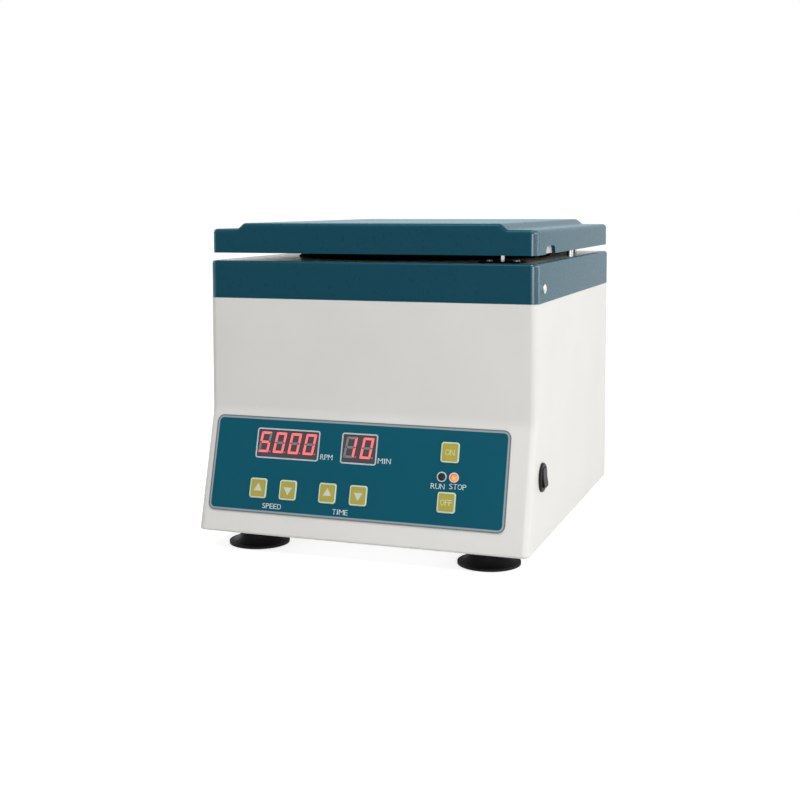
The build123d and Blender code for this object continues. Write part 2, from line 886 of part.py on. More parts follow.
with BuildPart() as motor_core:
    with BuildSketch(Plane(origin=(0, axis_y, core_bottom))):
        Circle(core_radius)
        Circle(shaft_radius, mode=Mode.SUBTRACT)
    extrude(amount=core_height)
    chamfer(motor_core.faces().sort_by(Axis.Z)[-1].outer_wire().edges(), shaft_chamfer)

with BuildPart() as rotor_hub:
    revolve(
        outline(
            axis_plane,
            (shaft_radius, hub_bottom),
            (hub_flange_radius, hub_bottom),
            (hub_flange_radius, cone_bottom),
            (hub_base_radius, cone_bottom),
            (hub_top_radius, cone_top),
            (shaft_radius, cone_top),
        ),
        axis=rotor_axis,
    )

rotor_plane = Plane(origin=(0, axis_y, rotor_bottom))
pocket_places = ((0, pocket_radius), (0, -pocket_radius))
peg_places = [(side * holder_pegs / 2, y) for side in (-1, 1) for _, y in pocket_places]
lightening_radius = 9.0
lightening_holes = 4
gussets = 4

with BuildPart() as gusset:
    add(
        extrude(
            outline(
                axis_plane,
                (hub_base_radius, disc_top - near),
                (gusset_reach, disc_top - near),
                (hub_base_radius, disc_top + gusset_height),
            ),
            amount=gusset_width / 2,
            both=True,
        )
    )

with BuildPart() as plate_rotor:
    with BuildSketch(rotor_plane):
        Circle(rotor_radius)
    extrude(amount=rotor_disc)
    chamfer(plate_rotor.edges(), rim_chamfer)
    add([gusset.part.rotate(rotor_axis, turn * 360 / gussets) for turn in range(gussets)])
    revolve(
        outline(
            axis_plane,
            (0, cone_bottom),
            (hub_base_radius + boss_wall, cone_bottom),
            (hub_top_radius + boss_wall, cone_top),
            (0, cone_top),
        ),
        axis=rotor_axis,
    )
    revolve(
        outline(
            axis_plane,
            (0, cone_bottom),
            (hub_base_radius, cone_bottom),
            (hub_top_radius, cone_top),
            (0, cone_top),
        ),
        axis=rotor_axis,
        mode=Mode.SUBTRACT,
    )
    with BuildSketch(rotor_plane):
        with PolarLocations((gusset_reach + hub_base_radius) / 2, lightening_holes, start_angle=45):
            Circle(lightening_radius)
        with Locations(*peg_places):
            Circle(holder_peg_radius)
    extrude(amount=rotor_disc, mode=Mode.SUBTRACT)

# open-topped holders for the plates, each on two rivets
holders = []
for _, holder_y in pocket_places:
    with BuildPart() as holder:
        with BuildSketch(Plane(origin=(0, axis_y + holder_y, disc_top))):
            RectangleRounded(
                plate_length + 2 * holder_wall, plate_pocket + 2 * holder_wall, holder_corner
            )
        extrude(amount=holder_height)
        with BuildSketch(Plane(origin=(0, axis_y + holder_y, plate_floor))):
            RectangleRounded(plate_length, plate_pocket, holder_corner - holder_wall)
        extrude(amount=holder_height, mode=Mode.SUBTRACT)
        # finger room to lift the plate out
        grip_plane = Plane(
            origin=(0, axis_y + holder_y, disc_top + holder_height), x_dir=(1, 0, 0), z_dir=(0, -1, 0)
        )
        with BuildSketch(grip_plane) as grip:
            Rectangle(grip_width, 2 * grip_depth)
            fillet(grip.vertices().group_by(Axis.Y)[0], grip_depth / 3)
        extrude(amount=plate_pocket, both=True, mode=Mode.SUBTRACT)
        with BuildSketch(Plane(origin=(0, axis_y + holder_y, rotor_bottom))):
            with GridLocations(holder_pegs, 1, 2, 1):
                Circle(holder_peg_radius)
        extrude(amount=rotor_disc)
    holders.append(holder.part)
with BuildPart() as plate_holders:
    add(holders)

with BuildPart() as rotor_nut:
    with BuildSketch(Plane(origin=(0, axis_y, cone_top))):
        Circle(nut_radius)
        with PolarLocations(nut_grip_circle, nut_grips):
            Circle(nut_grip_radius, mode=Mode.SUBTRACT)
    extrude(amount=nut_height)
    fillet(rotor_nut.faces().sort_by(Axis.Z)[-1].edges(), nut_edge)
    with BuildSketch(Plane(origin=(0, axis_y, cone_top))):
        Circle(shaft_radius)
    extrude(amount=shaft_end, mode=Mode.SUBTRACT)

# ------------------------------------------------------------------ lid
lid_half = side_x - lid_inset
crown_half_width = lid_half - crown_shoulder
lid_front_y = front_y + lid_inset
lid_middle_y = (lid_front_y + rear_y) / 2
lid_depth = rear_y - lid_front_y
ramp_radius = 4.0
rib_rows = 4
liner_fit = lid_wall + seam
liner_boss_radius = 4.0
liner_boss_inset = 16.0
liner_screw_radius = 1.5


def lid_face(y, over, inset):
    """Front outline of the lid, run over at the bottom and drawn in by a wall."""
    with BuildSketch(Plane.XZ.offset(-y)) as face:
        with BuildLine():
            Polyline(
                (-lid_half, lid_bottom - over),
                (-lid_half, lid_shoulder),
                (-crown_half_width, lid_shoulder),
                (crown_ramp - crown_half_width, lid_top),
                (crown_half_width - crown_ramp, lid_top),
                (crown_half_width, lid_shoulder),
                (lid_half, lid_shoulder),
                (lid_half, lid_bottom - over),
                close=True,
            )
        make_face()
        crown_corners = face.vertices().filter_by(lambda v: abs(v.X) < crown_half_width + near)
        fillet(crown_corners, ramp_radius)
        if inset:
            offset(amount=-inset, kind=Kind.INTERSECTION)
    return face.sketch


def lid_plan(z, inset, radius):
    """Rounded rectangle of the lid's plan at a height, drawn in by an inset."""
    with BuildSketch(Plane.XY.offset(z)) as plan:
        with Locations((0, lid_middle_y)):
            RectangleRounded(2 * (lid_half - inset), lid_depth - 2 * inset, radius)
    return plan.sketch


def upright_corners(builder, half_width, low):
    """The four upright corner edges of the lid's outside or inside."""
    return (
        builder.edges()
        .filter_by(Axis.Z)
        .filter_by(lambda edge: abs(abs(edge.center().X) - half_width) < near and edge.center().Z > low)
    )


liner_boss_x = lid_half - liner_boss_inset
liner_boss_y = lid_depth / 2 - liner_boss_inset
liner_boss_places = [
    (sx * liner_boss_x, lid_middle_y + sy * liner_boss_y) for sx in (-1, 1) for sy in (-1, 1)
]
liner_top = liner_bottom + liner_thickness
rib_bottom = liner_bottom + liner_height + rib_thickness / 2
rib_pitch = lid_depth / (rib_rows + 1)

with BuildPart() as lid_shell:
    extrude(lid_face(rear_y, 0, 0), amount=lid_depth)
    fillet(upright_corners(lid_shell, lid_half, lid_bottom), corner_radius)
    rim_edges = [
        edge
        for edge in lid_shell.edges()
        if edge.center().Z > lid_shoulder - near
        and not (abs(edge.center().Y - lid_middle_y) < near and abs(edge.center().X) < lid_half - near)
    ]
    fillet(rim_edges, lid_edge_radius)
    extrude(
        lid_face(rear_y - lid_wall, 2 * lid_wall, lid_wall),
        amount=lid_depth - 2 * lid_wall,
        mode=Mode.SUBTRACT,
    )
    fillet(upright_corners(lid_shell, lid_half - lid_wall, lid_bottom), corner_radius - lid_wall)
    # stiffening ribs above the liner
    for row in range(rib_rows):
        rib_y = lid_front_y + (row + 1) * rib_pitch + rib_thickness / 2
        with BuildSketch(Plane.XZ.offset(-rib_y)):
            add(lid_face(rib_y, 0, lid_wall / 2))
            with Locations((0, (rib_bottom + lid_top) / 2)):
                Rectangle(body_width, lid_top - rib_bottom, mode=Mode.INTERSECT)
        extrude(amount=rib_thickness)
    with BuildSketch(Plane.XY.offset(liner_top)):
        with Locations(*liner_boss_places):
            Circle(liner_boss_radius)
            Circle(liner_screw_radius, mode=Mode.SUBTRACT)
    extrude(amount=lid_shoulder - lid_wall - liner_top)
    # finger notch in the right skirt
    with BuildSketch(Plane.YZ.offset(side_x)) as notch:
        with Locations((front_y + notch_setback, lid_bottom)):
            Rectangle(notch_length, 2 * notch_height)
        fillet(notch.vertices().group_by(Axis.Y)[-1], notch_radius)
    extrude(amount=-(lid_inset + lid_wall + seam), mode=Mode.SUBTRACT)
    extrude(hinge_screw_holes(Plane.XZ.offset(-rear_y), 1), amount=lid_wall, mode=Mode.SUBTRACT)

with BuildPart() as lid_liner:
    extrude(lid_plan(liner_bottom, liner_fit, cavity_radius), amount=liner_height)
    extrude(
        lid_plan(liner_top, liner_fit + liner_wall, cavity_radius), amount=liner_height, mode=Mode.SUBTRACT
    )
    with BuildSketch(Plane(origin=(0, axis_y, liner_bottom))):
        Circle(dish_radius + liner_wall)
    extrude(amount=dish_depth + liner_wall)
    with BuildSketch(Plane(origin=(0, axis_y, liner_bottom))):
        Circle(dish_radius)
    extrude(amount=dish_depth, mode=Mode.SUBTRACT)
    fillet(
        lid_liner.edges().filter_by(GeomType.CIRCLE).filter_by(
            lambda edge: abs(edge.center().Z - liner_bottom - dish_depth) < near
            and abs(edge.radius - dish_radius) < near
        ),
        dish_depth / 2,
    )
    with BuildSketch(Plane.XY.offset(liner_bottom)):
        with Locations((striker_x, striker_y)):
            Rectangle(striker_thickness, striker_width)
        with Locations(*liner_boss_places):
            Circle(liner_screw_radius)
    extrude(amount=liner_thickness, mode=Mode.SUBTRACT)

striker_flange = (18.0, 16.0, 2.0)
eye_gap = 1.0
eye_radius = bolt_radius + eye_gap
eye_z = deck_top - striker_reach + 2 * eye_radius
with BuildPart() as lid_striker:
    with BuildSketch(Plane.YZ.offset(striker_x - striker_thickness / 2)) as striker_face:
        with Locations((striker_y, (deck_bottom + liner_top) / 2)):
            Rectangle(striker_neck, liner_top - deck_bottom)
        with Locations((striker_y, (deck_top - striker_reach + deck_bottom) / 2)):
            Rectangle(striker_width, deck_bottom - deck_top + striker_reach)
        fillet(striker_face.vertices().group_by(Axis.Y)[0], striker_width / 2.5)
        with Locations((striker_y, eye_z)):
            Circle(eye_radius, mode=Mode.SUBTRACT)
    extrude(amount=striker_thickness)
    with BuildSketch(Plane.XY.offset(liner_top)):
        with Locations((striker_x, striker_y)):
            RectangleRounded(striker_flange[0], striker_flange[1], liner_thickness)
    extrude(amount=striker_flange[2])

# ------------------------------------------------------------------ hinges
knuckle_length = (leaf_width - 2 * knuckle_gap) / 3


def hinge_leaf(x, direction, knuckles):
    """One leaf on the back; direction is 1 for the lid's leaf, knuckles are their X centres."""
    plate_start = hinge_z + direction * (knuckle_radius + knuckle_gap)
    plate_end = hinge_z + direction * leaf_height
    with BuildPart(mode=Mode.PRIVATE) as leaf:
        with BuildSketch(Plane.XZ.offset(-rear_y)) as plate:
            with Locations((x, (plate_start + plate_end) / 2)):
                Rectangle(leaf_width, abs(plate_end - plate_start))
            far = plate.vertices().group_by(Axis.Y)
            fillet(far[-1] if direction > 0 else far[0], leaf_thickness * 1.5)
            for knuckle_x in knuckles:
                with Locations((x + knuckle_x, (plate_start + hinge_z) / 2)):
                    Rectangle(knuckle_length, abs(plate_start - hinge_z))
        extrude(amount=-leaf_thickness)
        for knuckle_x in knuckles:
            with BuildSketch(Plane.YZ.offset(x + knuckle_x - knuckle_length / 2)):
                with Locations((hinge_y, hinge_z)):
                    Circle(knuckle_radius)
            extrude(amount=knuckle_length)
        bore = hinge_pin_radius + (running_gap if direction > 0 else 0)
        with BuildSketch(Plane.YZ.offset(x - leaf_width)):
            with Locations((hinge_y, hinge_z)):
                Circle(bore)
        extrude(amount=2 * leaf_width, mode=Mode.SUBTRACT)
        with BuildSketch(Plane.XZ.offset(-rear_y)):
            with Locations((x, hinge_z + direction * leaf_screw_drop)):
                with GridLocations(hinge_screw_spacing, 1, 2, 1):
                    Circle(hinge_screw_radius)
        extrude(amount=-leaf_thickness, mode=Mode.SUBTRACT)
    return leaf.part


outer_knuckles = (-(knuckle_length + knuckle_gap), knuckle_length + knuckle_gap)
fixed_leaf_set = [hinge_leaf(x, -1, outer_knuckles) for x in hinge_places]
lid_leaf_set = [hinge_leaf(x, 1, (0,)) for x in hinge_places]
with BuildPart() as fixed_leaves:
    add(fixed_leaf_set)
with BuildPart() as lid_leaves:
    add(lid_leaf_set)

with BuildPart() as hinge_pins:
    for x in hinge_places:
        with BuildSketch(Plane.YZ.offset(x - leaf_width / 2)):
            with Locations((hinge_y, hinge_z)):
                Circle(hinge_pin_radius)
        extrude(amount=leaf_width)


def leaf_screws(direction, length):
    """The screws of both leaves on one side of the gap."""
    return [
        screw(
            Plane(
                origin=(
                    x + side * hinge_screw_spacing / 2,
                    rear_y + leaf_thickness,
                    hinge_z + direction * leaf_screw_drop,
                ),
                z_dir=(0, 1, 0),
            ),
            hinge_screw_radius,
            length,
        )
        for x in hinge_places
        for side in (-1, 1)
    ]


fixed_screw_set = leaf_screws(-1, leaf_thickness + wall)
lid_screw_set = leaf_screws(1, leaf_thickness + lid_wall)
with BuildPart() as hinge_screws:
    add(fixed_screw_set)
with BuildPart() as lid_hinge_screws:
    add(lid_screw_set)

# ------------------------------------------------------------------ control front
label_x = (label_left + label_right) / 2
label_drop = (label_top + label_bottom) / 2
board_width = label_right - label_left - 2 * board_margin
board_height = label_bottom - label_top - 2 * board_margin
post_inset = 6.0
board_post_radius = 3.0
display_recess = 0.4
display_fit = 0.2
switch_block = 6.0
switch_block_height = 3.5
plunger_radius = 1.7
plunger_height = 5.0
flange_thickness = 1.2
stem_radius = 2.2
lamp_stand = 2.2
lamp_ring_height = 0.5
lamp_dome = 1.6
board_screw_radius = 1.3

with BuildPart() as control_label:
    with BuildSketch(slope):
        with Locations((label_x, -label_drop)):
            RectangleRounded(label_right - label_left, label_bottom - label_top, label_radius)
        for x, drop in keys.values():
            with Locations((x, -drop)):
                RectangleRounded(
                    key_width + 2 * key_gap, key_height + 2 * key_gap, key_radius, mode=Mode.SUBTRACT
                )
        for x, width in windows.values():
            with Locations((x, -window_drop)):
                Rectangle(width, window_height, mode=Mode.SUBTRACT)
        with Locations(*[(x, -lamp_drop) for x in lamps.values()]):
            Circle(lamp_radius, mode=Mode.SUBTRACT)
    extrude(amount=label_thickness)

with BuildPart() as control_board:
    with BuildSketch(slope.offset(board_face)):
        with Locations((label_x, -label_drop)):
            RectangleRounded(board_width, board_height, post_inset / 2)
            with GridLocations(board_width - 2 * post_inset, board_height - 2 * post_inset, 2, 2):
                Circle(board_screw_radius, mode=Mode.SUBTRACT)
    extrude(amount=-board_thickness)
    # the keys' switches, soldered on
    with BuildSketch(slope.offset(board_face)):
        with Locations(*[(x, -drop) for x, drop in keys.values()]):
            Rectangle(switch_block, switch_block)
    extrude(amount=switch_block_height)
    with BuildSketch(slope.offset(board_face)):
        with Locations(*[(x, -drop) for x, drop in keys.values()]):
            Circle(plunger_radius)
    extrude(amount=plunger_height)

with BuildPart() as board_posts:
    with BuildSketch(slope.offset(board_face)):
        with Locations((label_x, -label_drop)):
            with GridLocations(board_width - 2 * post_inset, board_height - 2 * post_inset, 2, 2):
                Circle(board_post_radius)
                Circle(board_screw_radius, mode=Mode.SUBTRACT)
    extrude(amount=board_depth)

displays = {}
for name, (x, width) in windows.items():
    with BuildPart() as display:
        with BuildSketch(slope.offset(label_thickness - display_recess)):
            with Locations((x, -window_drop)):
                Rectangle(width - 2 * display_fit, window_height - 2 * display_fit)
        extrude(amount=-(label_thickness - display_recess - board_face))
    displays[name] = display

lamp_pieces = {}
for name, x in lamps.items():
    with BuildPart() as lamp:
        lamp_place = slope.from_local_coords((x, -lamp_drop, label_thickness))
        lamp_plane = Plane(origin=lamp_place, z_dir=slope.z_dir)
        with BuildSketch(lamp_plane):
            Circle(lamp_ring_radius)
        extrude(amount=lamp_ring_height)
        with BuildSketch(lamp_plane):
            Circle(lamp_radius)
        extrude(amount=lamp_stand)
        fillet(lamp.edges().sort_by(Axis(lamp_place, slope.z_dir))[-1], lamp_dome)
        with BuildSketch(lamp_plane):
            Circle(lamp_radius)
        extrude(amount=board_face - label_thickness)
    lamp_pieces[name] = lamp

key_pieces = {}
key_face = label_thickness + key_stand
flange_face = -(wall + knuckle_gap)
stem_end = board_face + plunger_height + key_travel + knuckle_gap
for name, (x, drop) in keys.items():
    with BuildPart() as key:
        with BuildSketch(slope.offset(key_face)):
            with Locations((x, -drop)):
                RectangleRounded(key_width, key_height, key_radius)
        extrude(amount=flange_face - key_face)
        fillet(key.edges().group_by(Axis((0, 0, 0), slope.z_dir))[-1], key_stand * 0.8)
        with BuildSketch(slope.offset(flange_face)):
            with Locations((x, -drop)):
                RectangleRounded(key_width + 2 * key_flange, key_height + 2 * key_flange, key_radius)
        extrude(amount=-flange_thickness)
        with BuildSketch(slope.offset(flange_face)):
            with Locations((x, -drop)):
                Circle(stem_radius)
        extrude(amount=stem_end - flange_face)
    key_pieces[name] = key

# ------------------------------------------------------------------ power switch
rocker_half = rocker_length / 2
rocker_turn = radians(rocker_angle)
rocker_base = 5.0
rocker_corner = 2.6
axle_radius = 1.5
axle_reach = 1.0
pivot_stand = 0.5
rocker_taper = 0.6
rocker_skirt = 1.0
rocker_dip = 0.4
pivot_x = side_x + pivot_stand
cavity_height = 2 * (rocker_half * cos(rocker_turn) + rocker_crest * sin(rocker_turn) + rocker_gap)
cavity_width = rocker_width + 2 * rocker_gap
cavity_depth = rocker_base + 1.0
terminal = (0.8, 6.3, 8.0)
terminal_pitch = 7.0

with BuildPart() as switch_bezel:
    with BuildSketch(Plane.YZ.offset(side_x)):
        with Locations((switch_y, switch_z)):
            Circle(switch_bezel_radius)
    extrude(amount=switch_bezel_height)
    fillet(switch_bezel.faces().sort_by(Axis.X)[-1].edges(), switch_bezel_height * 0.6)
    with BuildSketch(Plane.YZ.offset(side_x)):
        with Locations((switch_y, switch_z)):
            Circle(switch_body_radius)
    extrude(amount=-switch_body_depth)
    with BuildSketch(Plane.YZ.offset(side_x + switch_bezel_height)):
        with Locations((switch_y, switch_z)):
            RectangleRounded(cavity_width, cavity_height, rocker_corner + rocker_gap)
    extrude(amount=-(switch_bezel_height + side_x - pivot_x + cavity_depth), mode=Mode.SUBTRACT)
    with BuildSketch(Plane.XZ.offset(-switch_y)):
        with Locations((pivot_x, switch_z)):
            Circle(axle_radius + running_gap)
    extrude(amount=rocker_width / 2 + axle_reach + rocker_gap, both=True, mode=Mode.SUBTRACT)
    with BuildSketch(Plane.YZ.offset(side_x - switch_body_depth)):
        with Locations((switch_y, switch_z)):
            with GridLocations(1, terminal_pitch, 1, 2):
                Rectangle(terminal[1], terminal[0])
    extrude(amount=-terminal[2])

rocker_plane = Plane(
    origin=(pivot_x, switch_y, switch_z),
    x_dir=(-sin(rocker_turn), 0, cos(rocker_turn)),
    z_dir=(0, 1, 0),
)
with BuildPart() as power_rocker:
    with BuildSketch(rocker_plane):
        with BuildLine():
            Polyline(
                (rocker_half - rocker_taper, -rocker_skirt),
                (rocker_half, rocker_crest),
                (0, rocker_crest - rocker_dip),
                (-rocker_half, rocker_crest),
                (rocker_taper - rocker_half, -rocker_skirt),
            )
            ThreePointArc(
                (rocker_taper - rocker_half, -rocker_skirt),
                (0, -rocker_base),
                (rocker_half - rocker_taper, -rocker_skirt),
            )
        make_face()
    extrude(amount=rocker_width / 2, both=True)
    rocker_ends = power_rocker.faces().sort_by(Axis((0, 0, 0), rocker_plane.x_dir))
    side_edges = [
        edge
        for end in (rocker_ends[0], rocker_ends[-1])
        for edge in end.edges()
        if abs(edge.center().Y - switch_y) > rocker_width / 4
    ]
    fillet(side_edges, rocker_corner)
    with BuildSketch(Plane.XZ.offset(-switch_y)):
        with Locations((pivot_x, switch_z)):
            Circle(axle_radius)
    extrude(amount=rocker_width / 2 + axle_reach, both=True)

# ------------------------------------------------------------------ power inlet
socket_corner = 5.0
contact_section = (2.0, 4.0)
contact_stand = 11.0
contact_pitch = 7.0
contact_rise = 2.0
contact_places = [
    (inlet_x + step * contact_pitch, inlet_z + (contact_rise if step == 0 else -contact_rise))
    for step in (-1, 0, 1)
]
with BuildPart() as power_inlet:
    with BuildSketch(Plane.XZ.offset(-rear_y)):
        with Locations((inlet_x, inlet_z)):
            RectangleRounded(inlet_flange_width, inlet_flange_height, inlet_flange_radius)
            with GridLocations(inlet_screw_pitch, 1, 2, 1):
                Circle(inlet_screw_radius, mode=Mode.SUBTRACT)
    extrude(amount=-inlet_flange)
    with BuildSketch(Plane.XZ.offset(-rear_y)):
        with Locations((inlet_x, inlet_z)):
            Rectangle(inlet_width, inlet_height)
    extrude(amount=inlet_depth)
    with BuildSketch(Plane.XZ.offset(-rear_y - inlet_flange)) as socket:
        with Locations((inlet_x, inlet_z)):
            Rectangle(socket_width, socket_height)
        chamfer(socket.vertices().group_by(Axis.Y)[-1], socket_corner)
    extrude(amount=socket_depth, mode=Mode.SUBTRACT)
    for x, z in contact_places:
        with BuildSketch(Plane.XZ.offset(inlet_depth - rear_y)):
            with Locations((x, z)):
                Rectangle(*contact_section)
        extrude(amount=-inlet_depth, mode=Mode.SUBTRACT)

with BuildPart() as inlet_contacts:
    for x, z in contact_places:
        with BuildSketch(Plane.XZ.offset(socket_depth - inlet_flange - contact_stand - rear_y)):
            with Locations((x, z)):
                Rectangle(*contact_section)
        extrude(amount=inlet_depth + inlet_flange + contact_stand - socket_depth)
        with BuildSketch(Plane.XZ.offset(inlet_depth - rear_y)):
            with Locations((x, z)):
                Rectangle(terminal[0], terminal[1])
        extrude(amount=terminal[2])

# ------------------------------------------------------------------ power electronics
core_size = (57.0, 28.0, 48.0)
core_window = (9.5, 28.5)
core_limb = 19.0
coil_depth = 46.0
winding_gap = 0.5
transformer_side_gap = 60.0
power_board_side_gap = 68.0
electronics_setback = 67.0  # from the back
transformer_place = (transformer_side_gap - side_x, rear_y - electronics_setback)
board_place = (side_x - power_board_side_gap, rear_y - electronics_setback)
power_board_size = (96.0, 64.0)
power_post_height = 8.0
power_post_radius = 3.0
power_post_inset = 4.0
capacitor_radius = 11.0
capacitor_height = 30.0
capacitor_gap = 2.0
sink_size = (60.0, 3.0, 34.0)
sink_fin = 1.6
sink_fins = 9
sink_depth = 16.0

with BuildPart() as transformer:
    with BuildSketch(Plane.XZ.offset(-transformer_place[1])):
        with Locations((transformer_place[0], base_top + core_size[2] / 2)):
            Rectangle(core_size[0], core_size[2])
            with GridLocations(core_limb + core_window[0], 1, 2, 1):
                Rectangle(*core_window, mode=Mode.SUBTRACT)
    extrude(amount=core_size[1] / 2, both=True)
    with BuildSketch(Plane.XY.offset(base_top + core_size[2] / 2)):
        with Locations(transformer_place):
            RectangleRounded(
                core_limb + 2 * (core_window[0] - winding_gap), coil_depth, core_window[0] / 2
            )
            Rectangle(core_limb, core_size[1], mode=Mode.SUBTRACT)
    extrude(amount=core_window[1] / 2, both=True)

power_board_z = base_top + power_post_height
with BuildPart() as power_board:
    with BuildSketch(Plane.XY.offset(base_top)):
        with Locations(board_place):
            with GridLocations(
                power_board_size[0] - 2 * power_post_inset, power_board_size[1] - 2 * power_post_inset, 2, 2
            ):
                Circle(power_post_radius)
    extrude(amount=power_post_height)
    with BuildSketch(Plane.XY.offset(power_board_z)):
        with Locations(board_place):
            Rectangle(*power_board_size)
    extrude(amount=board_thickness)
    with BuildSketch(Plane.XY.offset(power_board_z + board_thickness)):
        with Locations(
            (board_place[0] - power_board_size[0] / 4, board_place[1] - power_board_size[1] / 4)
        ):
            with GridLocations(2 * capacitor_radius + capacitor_gap, 1, 2, 1):
                Circle(capacitor_radius)
    extrude(amount=capacitor_height)
    with BuildSketch(Plane.XY.offset(power_board_z + board_thickness)):
        with Locations((board_place[0], board_place[1] + power_board_size[1] / 4)):
            Rectangle(sink_size[0], sink_size[1])
            with GridLocations((sink_size[0] - sink_fin) / (sink_fins - 1), 1, sink_fins, 1):
                Rectangle(sink_fin, sink_depth)
    extrude(amount=sink_size[2])

# ------------------------------------------------------------------ lid lock
lock_left = striker_x - lock_reach
lock_right = striker_x + lock_heel
lock_bottom = deck_bottom - lock_height
bolt_length = 22.0
bolt_rest_gap = 0.5
bolt_tip = striker_x - striker_slot[0] / 2 - bolt_rest_gap
bolt_room = 1.0
lock_corner = 1.5
lock_plate_corner = 3.0
with BuildPart() as lock_body:
    with BuildSketch(Plane.XY.offset(lock_bottom)):
        with Locations(((lock_left + lock_right) / 2, striker_y)):
            RectangleRounded(lock_right - lock_left, lock_width, lock_corner)
        with Locations((striker_x, striker_y)):
            Rectangle(*striker_slot, mode=Mode.SUBTRACT)
            with GridLocations(lock_screw_pitch, 1, 2, 1):
                Circle(lock_screw_radius, mode=Mode.SUBTRACT)
    extrude(amount=lock_height)
    with BuildSketch(Plane.YZ.offset(bolt_tip - bolt_length - bolt_room)):
        with Locations((striker_y, eye_z)):
            Circle(bolt_radius + running_gap)
    extrude(amount=bolt_length + bolt_travel + 2 * bolt_room, mode=Mode.SUBTRACT)

with BuildPart() as lock_bolt:
    with BuildSketch(Plane.YZ.offset(bolt_tip - bolt_length)):
        with Locations((striker_y, eye_z)):
            Circle(bolt_radius)
    extrude(amount=bolt_length)
    chamfer(lock_bolt.faces().sort_by(Axis.X)[-1].edges(), bolt_radius / 3)

with BuildPart() as lock_plate:
    with BuildSketch(Plane.XY.offset(deck_top)):
        with Locations((striker_x, striker_y)):
            RectangleRounded(lock_plate_width, lock_plate_depth, lock_plate_corner)
            Rectangle(*striker_slot, mode=Mode.SUBTRACT)
            with GridLocations(lock_screw_pitch, 1, 2, 1):
                Circle(lock_screw_radius, mode=Mode.SUBTRACT)
    extrude(amount=lock_plate_thickness)

lock_screw_set = [
    screw(
        Plane(origin=(striker_x + side * lock_screw_pitch / 2, striker_y, deck_top + lock_plate_thickness)),
        lock_screw_radius,
        lock_plate_thickness + deck_thickness + lock_height / 3,
    )
    for side in (-1, 1)
]
with BuildPart() as lock_screws:
    add(lock_screw_set)

micro_size = (20.0, 6.4, 10.2)
micro_x = striker_x - micro_size[0]
micro_y = striker_y + lock_width / 2 + micro_size[1] / 2
micro_button = (3.0, 3.0, 1.5)
micro_drop = 3.0  # below the deck
micro_top = deck_bottom - micro_drop
with BuildPart() as lid_switch:
    with BuildSketch(Plane.XY.offset(micro_top)):
        with Locations((micro_x, micro_y)):
            Rectangle(micro_size[0], micro_size[1])
    extrude(amount=-micro_size[2])
    with BuildSketch(Plane.XY.offset(micro_top - micro_size[2])):
        with Locations((micro_x, micro_y)):
            with GridLocations(micro_size[0] / 3, 1, 3, 1):
                Rectangle(terminal[0], micro_size[1] / 2)
    extrude(amount=-terminal[2] / 2)
    with BuildSketch(Plane.XY.offset(micro_top)):
        with Locations((micro_x + micro_size[0] / 4, micro_y)):
            Rectangle(*micro_button[:2])
    extrude(amount=micro_button[2])

# ------------------------------------------------------------------ files
pieces = {
    "housing": housing,
    "rear_grille": rear_grille,
    "base_plate": base_plate,
    "base_screws": base_screws,
    **feet,
    "foot_bolts": foot_bolts,
    "top_collar": top_collar,
    "collar_screws": collar_screws,
    "deck_plate": deck_plate,
    "rest_posts": rest_posts,
    "chamber_bowl": chamber_bowl,
    "bowl_gasket": bowl_gasket,
    "shaft_boot": shaft_boot,
    "motor_plate": motor_plate,
    "motor_dampers": motor_dampers,
    "motor_can": motor_can,
    "motor_end_bell": motor_end_bell,
    "motor_bearings": motor_bearings,
    "motor_stator": motor_stator,
    "motor_shaft": motor_shaft,
    "motor_core": motor_core,
    "rotor_hub": rotor_hub,
    "plate_rotor": plate_rotor,
    "plate_holders": plate_holders,
    "rotor_nut": rotor_nut,
    "lid_shell": lid_shell,
    "lid_liner": lid_liner,
    "lid_striker": lid_striker,
    "fixed_leaves": fixed_leaves,
    "lid_leaves": lid_leaves,
    "hinge_pins": hinge_pins,
    "hinge_screws": hinge_screws,
    "lid_hinge_screws": lid_hinge_screws,
    "control_label": control_label,
    "control_board": control_board,
    "board_posts": board_posts,
    **displays,
    **lamp_pieces,
    **key_pieces,
    "switch_bezel": switch_bezel,
    "power_rocker": power_rocker,
    "power_inlet": power_inlet,
    "inlet_contacts": inlet_contacts,
    "transformer": transformer,
    "power_board": power_board,
    "lock_body": lock_body,
    "lock_bolt": lock_bolt,
    "lock_plate": lock_plate,
    "lock_screws": lock_screws,
    "lid_switch": lid_switch,
}
for name, piece in pieces.items():
    piece.part.label = name
    export_step(piece.part, f"parts/{name}.step")
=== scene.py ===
import json
from contextlib import contextmanager
from math import pi, radians, tan

import bmesh
import bpy
from mathutils import Matrix, Vector


